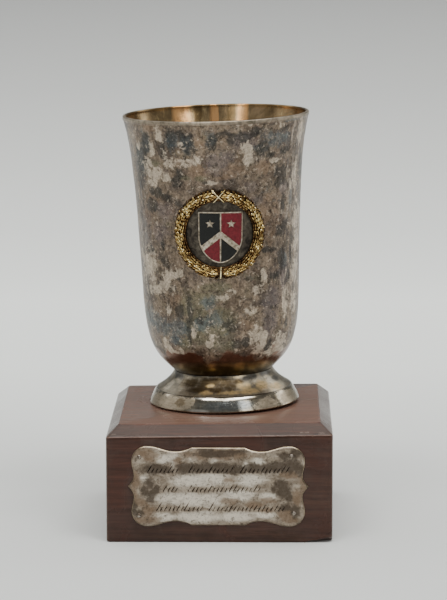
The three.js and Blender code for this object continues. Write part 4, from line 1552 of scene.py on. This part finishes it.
def bevelDepth(co):
    out = -co[1] - block["depth"] / 2
    return 0.0 if cutDepth(co) > 0 else max(plaque["thickness"] - out, 0.0)


def cutDepth(co):
    out = -co[1] - block["depth"] / 2
    inner = abs(co[0] - plaque["across"]) < 29 and abs(co[2] - plaque["above"]) < 11
    return max(plaque["thickness"] - out, 0.0) if inner and out > 0.4 else 0.0


# Plaque silver: polished where it was wiped, brown-black where tarnish was left, dirt in the cuts
def plaqueSilver():
    material, tree, shader = newMaterial("Tarnished plaque silver")
    place = addNode(tree, "ShaderNodeTexCoord").outputs["Object"]
    blots = addNode(tree, "ShaderNodeTexNoise", {
        "Scale": 1000 / 3.5, "Detail": 6.0, "Roughness": 0.72, "Distortion": 0.6,
    }, {"Vector": place})
    specks = addNode(tree, "ShaderNodeTexNoise", {
        "Scale": 1000 / 0.9, "Detail": 3.0, "Roughness": 0.7,
    }, {"Vector": place})
    base = addNode(tree, "ShaderNodeValToRGB", {"stops": [
        (0.36, "#6c6052"),
        (0.5, "#8a7d6f"),
        (0.64, "#aa9d8c"),
    ]}, {"Fac": blots.outputs["Fac"]})
    level = addNode(tree, "ShaderNodeMapping", {"Scale": (0.35, 1.0, 1.0)}, {"Vector": place})
    colour, _ = layFilms(tree, base.outputs["Color"], level.outputs[0], [
        ("bright", "#dcd2c3", 2.6, 2.2, 0.55, 0.88, 0.45),
        (None, "#6b5f51", 1.2, 4.0, 0.3, 0.45, 0.35),
    ])
    colour, _ = layFilms(tree, colour, place, [
        ("brown", "#786350", 3, 2.6, 0.4, 0.7, 0.45),
        ("dark", "#4a4037", 3, 2.4, 0.35, 0.84, 0.5),
        (None, "#4c4238", 1.6, 4.5, 0.2, 0.65, 0.4),
        ("edge", "#b9a98b", 3, 0.6, 0.3, 0.7, 0.5),
        ("cut", "#2e261f", 1, 0.4, 0.4, 0.88, 0.5),
    ])
    colour = shadedBy(tree, colour, specks.outputs["Fac"], 0.55, [
        (0.34, 0.4), (0.45, 1.0), (0.62, 1.0), (0.72, 1.3),
    ])
    tree.links.new(colour, shader.inputs["Base Color"])
    shader.inputs["Metallic"].default_value = 1.0
    rough = addNode(tree, "ShaderNodeMapRange", {
        "From Min": 0.3, "From Max": 0.7, "To Min": 0.24, "To Max": 0.44,
    }, {"Value": blots.outputs["Fac"]})
    tree.links.new(rough.outputs[0], shader.inputs["Roughness"])
    relief = addNode(tree, "ShaderNodeBump", {"Strength": 0.2, "Distance": 0.05 * mm}, {
        "Height": specks.outputs["Fac"],
    })
    tree.links.new(relief.outputs[0], shader.inputs["Normal"])
    return material


plaquePiece(plaqueSilver())


def pinShape():
    top = plaque["thickness"] + pins["headGap"]
    rise = pins["headHeight"] - pins["headGap"]
    radius = pins["headRadius"]
    arc = [math.radians(a) for a in (0, 18, 36, 54, 66)]
    dome = [(radius * math.cos(a), top + rise * math.sin(a)) for a in arc]
    return [
        (0.0, -pins["length"]), (pins["shank"], -pins["length"] + pins["point"]), (pins["shank"], top),
        *dome, (radius * 0.2, top + rise * 0.86), (0.0, top + rise - pins["dimple"]),
    ]


# Steel pins, dull grey-brown, brighter on the rim of each head
def pinSteel():
    material, tree, shader = newMaterial("Dull steel pins")
    place = addNode(tree, "ShaderNodeTexCoord").outputs["Object"]
    rust = addNode(tree, "ShaderNodeTexNoise", {"Scale": 1000 / 0.7, "Detail": 3.0}, {"Vector": place})
    colour = addNode(tree, "ShaderNodeValToRGB", {"stops": [
        (0.4, "#5a4c40"), (0.6, "#a39b90"),
    ]}, {"Fac": rust.outputs["Fac"]})
    tree.links.new(colour.outputs["Color"], shader.inputs["Base Color"])
    shader.inputs["Metallic"].default_value = 1.0
    shader.inputs["Roughness"].default_value = 0.35
    return material


steel = pinSteel()
for number, (side, up, fromSide, fromEdge) in enumerate(pins["corners"], 1):
    pinPoints, pinFaces = turned(pinShape(), pins["sides"])
    offset = (side * (plaque["width"] / 2 - fromSide), up * (plaque["height"] / 2 - fromEdge))
    makePiece(
        f"pin{number}", [onPlaque((x + offset[0], y + offset[1], z)) for x, y, z in pinPoints],
        pinFaces, steel, f"pin_{number}", 40,
    )
print("plaque and pins made")


# Wooden block

worn = {"alongFront": 12.0, "alongSide": 4.5, "up": 2.6}
# Marks at the bevel's lower edge in front: across, height, half width and half height in mm
scratches = {
    "scuff": [
        (33.0, 39.6, 3.4, 0.5), (31.0, 41.2, 2.4, 0.5), (37.5, 41.0, 2.0, 0.6), (-38.5, 40.2, 1.2, 0.5),
    ],
    "nick": [(35.3, 40.7, 1.5, 0.45)],
}


def ringAt(inset, heightAt, radius):
    ring = []
    halfWidth, halfDepth = block["width"] / 2 - inset, block["depth"] / 2 - inset
    corners = [(1, -1, -90), (1, 1, 0), (-1, 1, 90), (-1, -1, 180)]
    for sideX, sideY, start in corners:
        arc = []
        for step in range(0, 91, 15):
            angle = math.radians(start + step)
            arc.append((
                sideX * (halfWidth - radius) + radius * math.cos(angle),
                sideY * (halfDepth - radius) + radius * math.sin(angle),
            ))
        ring += arc
    dense = []
    for n, (one, other) in enumerate(zip(ring, ring[1:] + ring[:1])):
        count = 60 if n % 7 == 6 else 1
        dense += [tuple(mix(a, b, i / count) for a, b in zip(one, other)) for i in range(count)]
    return [(x, y, heightAt(x)) for x, y in dense]


def blockPiece(material):
    drop, width, radius = block["bevelDrop"], block["bevelWidth"], block["edgeRadius"]
    slope = drop / width
    rounding = block["footRounding"]
    # Rings from the underside up: how far in from the sides, and the height at each x
    levels = [
        (rounding, lambda x: 0.0),
        (rounding * 0.3, lambda x: rounding * 0.3),
        (0.0, lambda x: rounding),
    ]
    for share in block["sideRings"]:
        levels.append((0.0, lambda x, s=share: s * (blockTopAt(x) - drop)))
    levels.append((0.0, lambda x: blockTopAt(x) - drop - 0.25))
    levels.append((0.12, lambda x: blockTopAt(x) - drop + 0.04))
    for share in block["bevelRings"]:
        levels.append((width * share, lambda x, s=share: blockTopAt(x) - drop * (1 - s)))
    levels.append((width - 0.3, lambda x: blockTopAt(x) - 0.3 * slope - 0.02))
    levels.append((width - 0.05, lambda x: blockTopAt(x) - 0.06))
    levels.append((width + 0.3, blockTopAt))
    rings = [ringAt(inset, heightAt, radius) for inset, heightAt in levels]
    count = len(rings[0])
    points = [p for ring in rings for p in ring]
    faces = []
    for level in range(len(rings) - 1):
        for i in range(count):
            k = (i + 1) % count
            a = level * count
            faces.append((a + i, a + k, a + count + k, a + count + i))
    faces.append(tuple(reversed(range(count))))
    last = (len(rings) - 1) * count
    faces.append(tuple(last + i for i in range(count)))
    cutPoints, cutFaces = wornAtCorner(points, faces)
    piece = makePiece("mahoganyBlock", cutPoints, cutFaces, material, "wood_block", 25)
    paint(piece, "bevel", lambda co: smoothStep(-0.2, 0.2, co[2] - blockTopAt(co[0]) + drop)
          * (1 - smoothStep(-0.3, 0.0, co[2] - blockTopAt(co[0]))))
    paint(piece, "upper", lambda co: smoothStep(-0.3, 0.2, co[2] - blockTopAt(co[0]) + drop))
    paint(piece, "rubbed", edgeWear)
    for kind, spots in scratches.items():
        paint(piece, kind, lambda co, spots=spots: frontMark(co, spots))
    return piece


def frontMark(co, spots):
    return spotStrength(spots, co[0], co[2]) if co[1] < -30 else 0.0


# Cuts the worn corner off with one slanting plane and closes the cut
def wornAtCorner(points, faces):
    mesh = bpy.data.meshes.new("blockDraft")
    mesh.from_pydata([Vector(p) * mm for p in points], [], faces)
    work = bmesh.new()
    work.from_mesh(mesh)
    corner = Vector((block["width"] / 2, -block["depth"] / 2, 0))
    front = corner - Vector((worn["alongFront"], 0, 0))
    side = corner + Vector((0, worn["alongSide"], 0))
    above = corner + Vector((0, 0, worn["up"]))
    normal = (side - front).cross(above - front).normalized()
    if normal.dot(corner - front) < 0:
        normal = -normal
    cut = bmesh.ops.bisect_plane(
        work, geom=work.verts[:] + work.edges[:] + work.faces[:], plane_co=front * mm, plane_no=normal,
        clear_outer=True,
    )
    rim = [e for e in cut["geom_cut"] if isinstance(e, bmesh.types.BMEdge)]
    bmesh.ops.contextual_create(work, geom=rim)
    work.to_mesh(mesh)
    work.free()
    cutPoints = [tuple(v.co / mm) for v in mesh.vertices]
    cutFaces = [tuple(p.vertices) for p in mesh.polygons]
    bpy.data.meshes.remove(mesh)
    return cutPoints, cutFaces


# Varnish rubbed off along the bevel's two edges and the upright corners
def edgeWear(co):
    low = abs(co[2] - (blockTopAt(co[0]) - block["bevelDrop"]))
    high = abs(co[2] - blockTopAt(co[0]))
    onTop = max(abs(co[0]), abs(co[1])) < block["width"] / 2 - block["bevelWidth"] - 0.35
    corner = math.hypot(block["width"] / 2 - abs(co[0]), block["depth"] / 2 - abs(co[1]))
    worn = max(1 - low / 0.3, 0.0)
    if not onTop:
        worn = max(worn, 1 - high / 0.15)
    return max(worn, 0.8 * (1 - smoothStep(0.3, 0.9, corner)), 0.0)


# Varnished mahogany: red-brown with level grain, satin polish, greyer on the bevel as painted sheen and
# lighter on the worn edges
def varnishedMahogany():
    material, tree, shader = newMaterial("Varnished mahogany")
    place = addNode(tree, "ShaderNodeTexCoord").outputs["Object"]
    along = addNode(tree, "ShaderNodeMapping", {"Scale": (0.06, 1.0, 1.0)}, {"Vector": place})
    grain = addNode(tree, "ShaderNodeTexNoise", {
        "Scale": 1000 / 1.5, "Detail": 5.0, "Roughness": 0.6, "Distortion": 0.3,
    }, {"Vector": along.outputs[0]})
    pores = addNode(tree, "ShaderNodeTexNoise", {
        "Scale": 1000 / 0.45, "Detail": 2.0, "Roughness": 0.6,
    }, {"Vector": along.outputs[0]})
    figure = addNode(tree, "ShaderNodeTexNoise", {
        "Scale": 1000 / 24, "Detail": 4.0, "Roughness": 0.6, "Distortion": 0.8,
    }, {"Vector": place})
    colour = addNode(tree, "ShaderNodeValToRGB", {"stops": [
        (0.3, "#33211a"),
        (0.5, "#3f2a22"),
        (0.7, "#4d342a"),
    ]}, {"Fac": grain.outputs["Fac"]}).outputs["Color"]
    colour = shadedBy(tree, colour, figure.outputs["Fac"], 0.6, [
        (0.36, "#c4c0a8"), (0.5, 0.9), (0.64, "#ffcfba"),
    ])
    colour = shadedBy(tree, colour, pores.outputs["Fac"], 0.4, [(0.36, 0.5), (0.45, 1.0)])
    colour, _ = layFilms(tree, colour, along.outputs[0], [
        ("upper", "#6e3626", 1.8, 3.0, 0.4, 0.65, 1.0),
        ("upper", "#1f100c", 1.1, 3.8, 0.25, 0.85, 1.1),
        ("upper", "#94776a", 1.3, 3.4, 0.25, 0.35, 1.3),
    ])
    colour, _ = layFilms(tree, colour, place, [
        # Painted sheen of the varnish on the bevel
        ("bevel", "#54473f", 6, 1.5, 0.6, 0.72, 0.5),
        ("rubbed", "#86695a", 2, 0.9, 0.35, 0.6, 0.6),
        ("scuff", "#8d7b6e", 0.9, 2.6, 0.2, 0.6, 0.95),
        ("nick", "#1f120e", 1.2, 1.8, 0.2, 0.85, 0.8),
    ])
    tree.links.new(colour, shader.inputs["Base Color"])
    rough = addNode(tree, "ShaderNodeMapRange", {
        "From Min": 0.3, "From Max": 0.7, "To Min": 0.17, "To Max": 0.32,
    }, {"Value": figure.outputs["Fac"]})
    tree.links.new(rough.outputs[0], shader.inputs["Roughness"])
    shader.inputs["Specular IOR Level"].default_value = 0.26
    relief = addNode(tree, "ShaderNodeBump", {"Strength": 0.3, "Distance": 0.05 * mm}, {
        "Height": pores.outputs["Fac"],
    })
    tree.links.new(relief.outputs[0], shader.inputs["Normal"])
    return material


blockPiece(varnishedMahogany())
print("block made")


# Stage: a pale floor that curves up into a backdrop painted lighter low and darker higher up as light and
# shade, an even room, seven softboxes and a backdrop light

studio = {
    "room": "#e6e6e4", "roomStrength": 0.358,
    "floor": "#e2e4e0", "wallLow": "#f8fbf6", "wallMiddle": "#a7a8a6", "wallHigh": "#747573",
    "width": 14000.0, "front": 7000.0, "back": 1600.0, "rise": 2400.0, "curve": 1000.0,
    # Softboxes: degrees round and up, then distance, width and height in mm, and watts
    "lights": [
        (-20.0, 60.0, 1500.0, 900.0, 320.0, 8.0),
        (44.0, 60.0, 1500.0, 900.0, 320.0, 6.0),
        (112.0, 12.0, 1300.0, 320.0, 1000.0, 2.6),
        (-104.0, 25.0, 1300.0, 800.0, 1000.0, 1.6),
        (38.0, 34.0, 1300.0, 320.0, 640.0, 2.4),
        (-25.0, 14.0, 1300.0, 260.0, 520.0, 1.8),
        (0.0, 88.0, 1600.0, 1700.0, 1500.0, 14.0),
    ],
    "wash": {"place": (0, 700, 720), "aim": (0, 900, 0), "size": (2600.0, 300.0), "power": 7.5},
}


def makeLamp(name, place, aim, size, power):
    data = bpy.data.lights.new(name, "AREA")
    data.shape = "RECTANGLE"
    data.size = size[0] * mm
    data.size_y = size[1] * mm
    data.energy = power
    lamp = bpy.data.objects.new(name, data)
    bpy.context.scene.collection.objects.link(lamp)
    lamp.location = place
    lamp.rotation_euler = (aim - place).to_track_quat("-Z", "Y").to_euler()


def makeRoom():
    world = bpy.data.worlds.new("softRoom")
    bpy.context.scene.world = world
    world.use_nodes = True
    background = world.node_tree.nodes["Background"]
    background.inputs["Color"].default_value = hexToLinear(studio["room"])
    background.inputs["Strength"].default_value = studio["roomStrength"]
    target = Vector((0, 0, 60)) * mm
    for i, (azimuth, elevation, distance, wide, tall, power) in enumerate(studio["lights"]):
        away = lookingFrom(azimuth, elevation)
        makeLamp(f"softbox{i}", target + away * distance * mm, target, (wide, tall), power)
    wash = studio["wash"]
    place, aim = Vector(wash["place"]) * mm, Vector(wash["aim"]) * mm
    makeLamp("backdropWash", place, aim, wash["size"], wash["power"])


def makeFloor():
    half = studio["width"] / 2
    line = [(-studio["front"], 0.0), (studio["back"] - studio["curve"], 0.0)]
    for i in range(1, 13):
        angle = math.radians(90 * i / 12)
        line.append((
            studio["back"] - studio["curve"] + studio["curve"] * math.sin(angle),
            studio["curve"] - studio["curve"] * math.cos(angle),
        ))
    line.append((studio["back"], studio["rise"]))
    points = [(side * half, y, z) for y, z in line for side in (-1, 1)]
    faces = [(2 * i, 2 * i + 1, 2 * i + 3, 2 * i + 2) for i in range(len(line) - 1)]
    mesh = bpy.data.meshes.new("backdrop")
    mesh.from_pydata([Vector(p) * mm for p in points], [], faces)
    mesh.polygons.foreach_set("use_smooth", [True] * len(mesh.polygons))
    floor = bpy.data.objects.new("backdrop", mesh)
    bpy.context.scene.collection.objects.link(floor)
    material, tree, shader = newMaterial("Matte backdrop paper")
    place = addNode(tree, "ShaderNodeTexCoord").outputs["Object"]
    parts = addNode(tree, "ShaderNodeSeparateXYZ", {}, {"Vector": place})
    # Metres along the backdrop, halved, so that the ramp reaches 2 m
    along = addNode(tree, "ShaderNodeMath", {"operation": "ADD"}, {
        0: parts.outputs["Y"], 1: parts.outputs["Z"],
    })
    share = addNode(tree, "ShaderNodeMath", {"operation": "MULTIPLY", 1: 0.5}, {0: along.outputs[0]})
    # Brightest low on the wall and darker higher up: painted light and shade on the backdrop
    tone = addNode(tree, "ShaderNodeValToRGB", {"stops": [
        (0.025, studio["floor"]), (0.15, studio["wallLow"]),
        (0.25, studio["wallLow"]), (0.6, studio["wallMiddle"]),
        (0.72, studio["wallHigh"]),
    ]}, {"Fac": share.outputs[0]})
    tree.links.new(tone.outputs["Color"], shader.inputs["Base Color"])
    shader.inputs["Roughness"].default_value = 0.9
    floor.data.materials.append(material)


makeRoom()
makeFloor()
print("stage made")
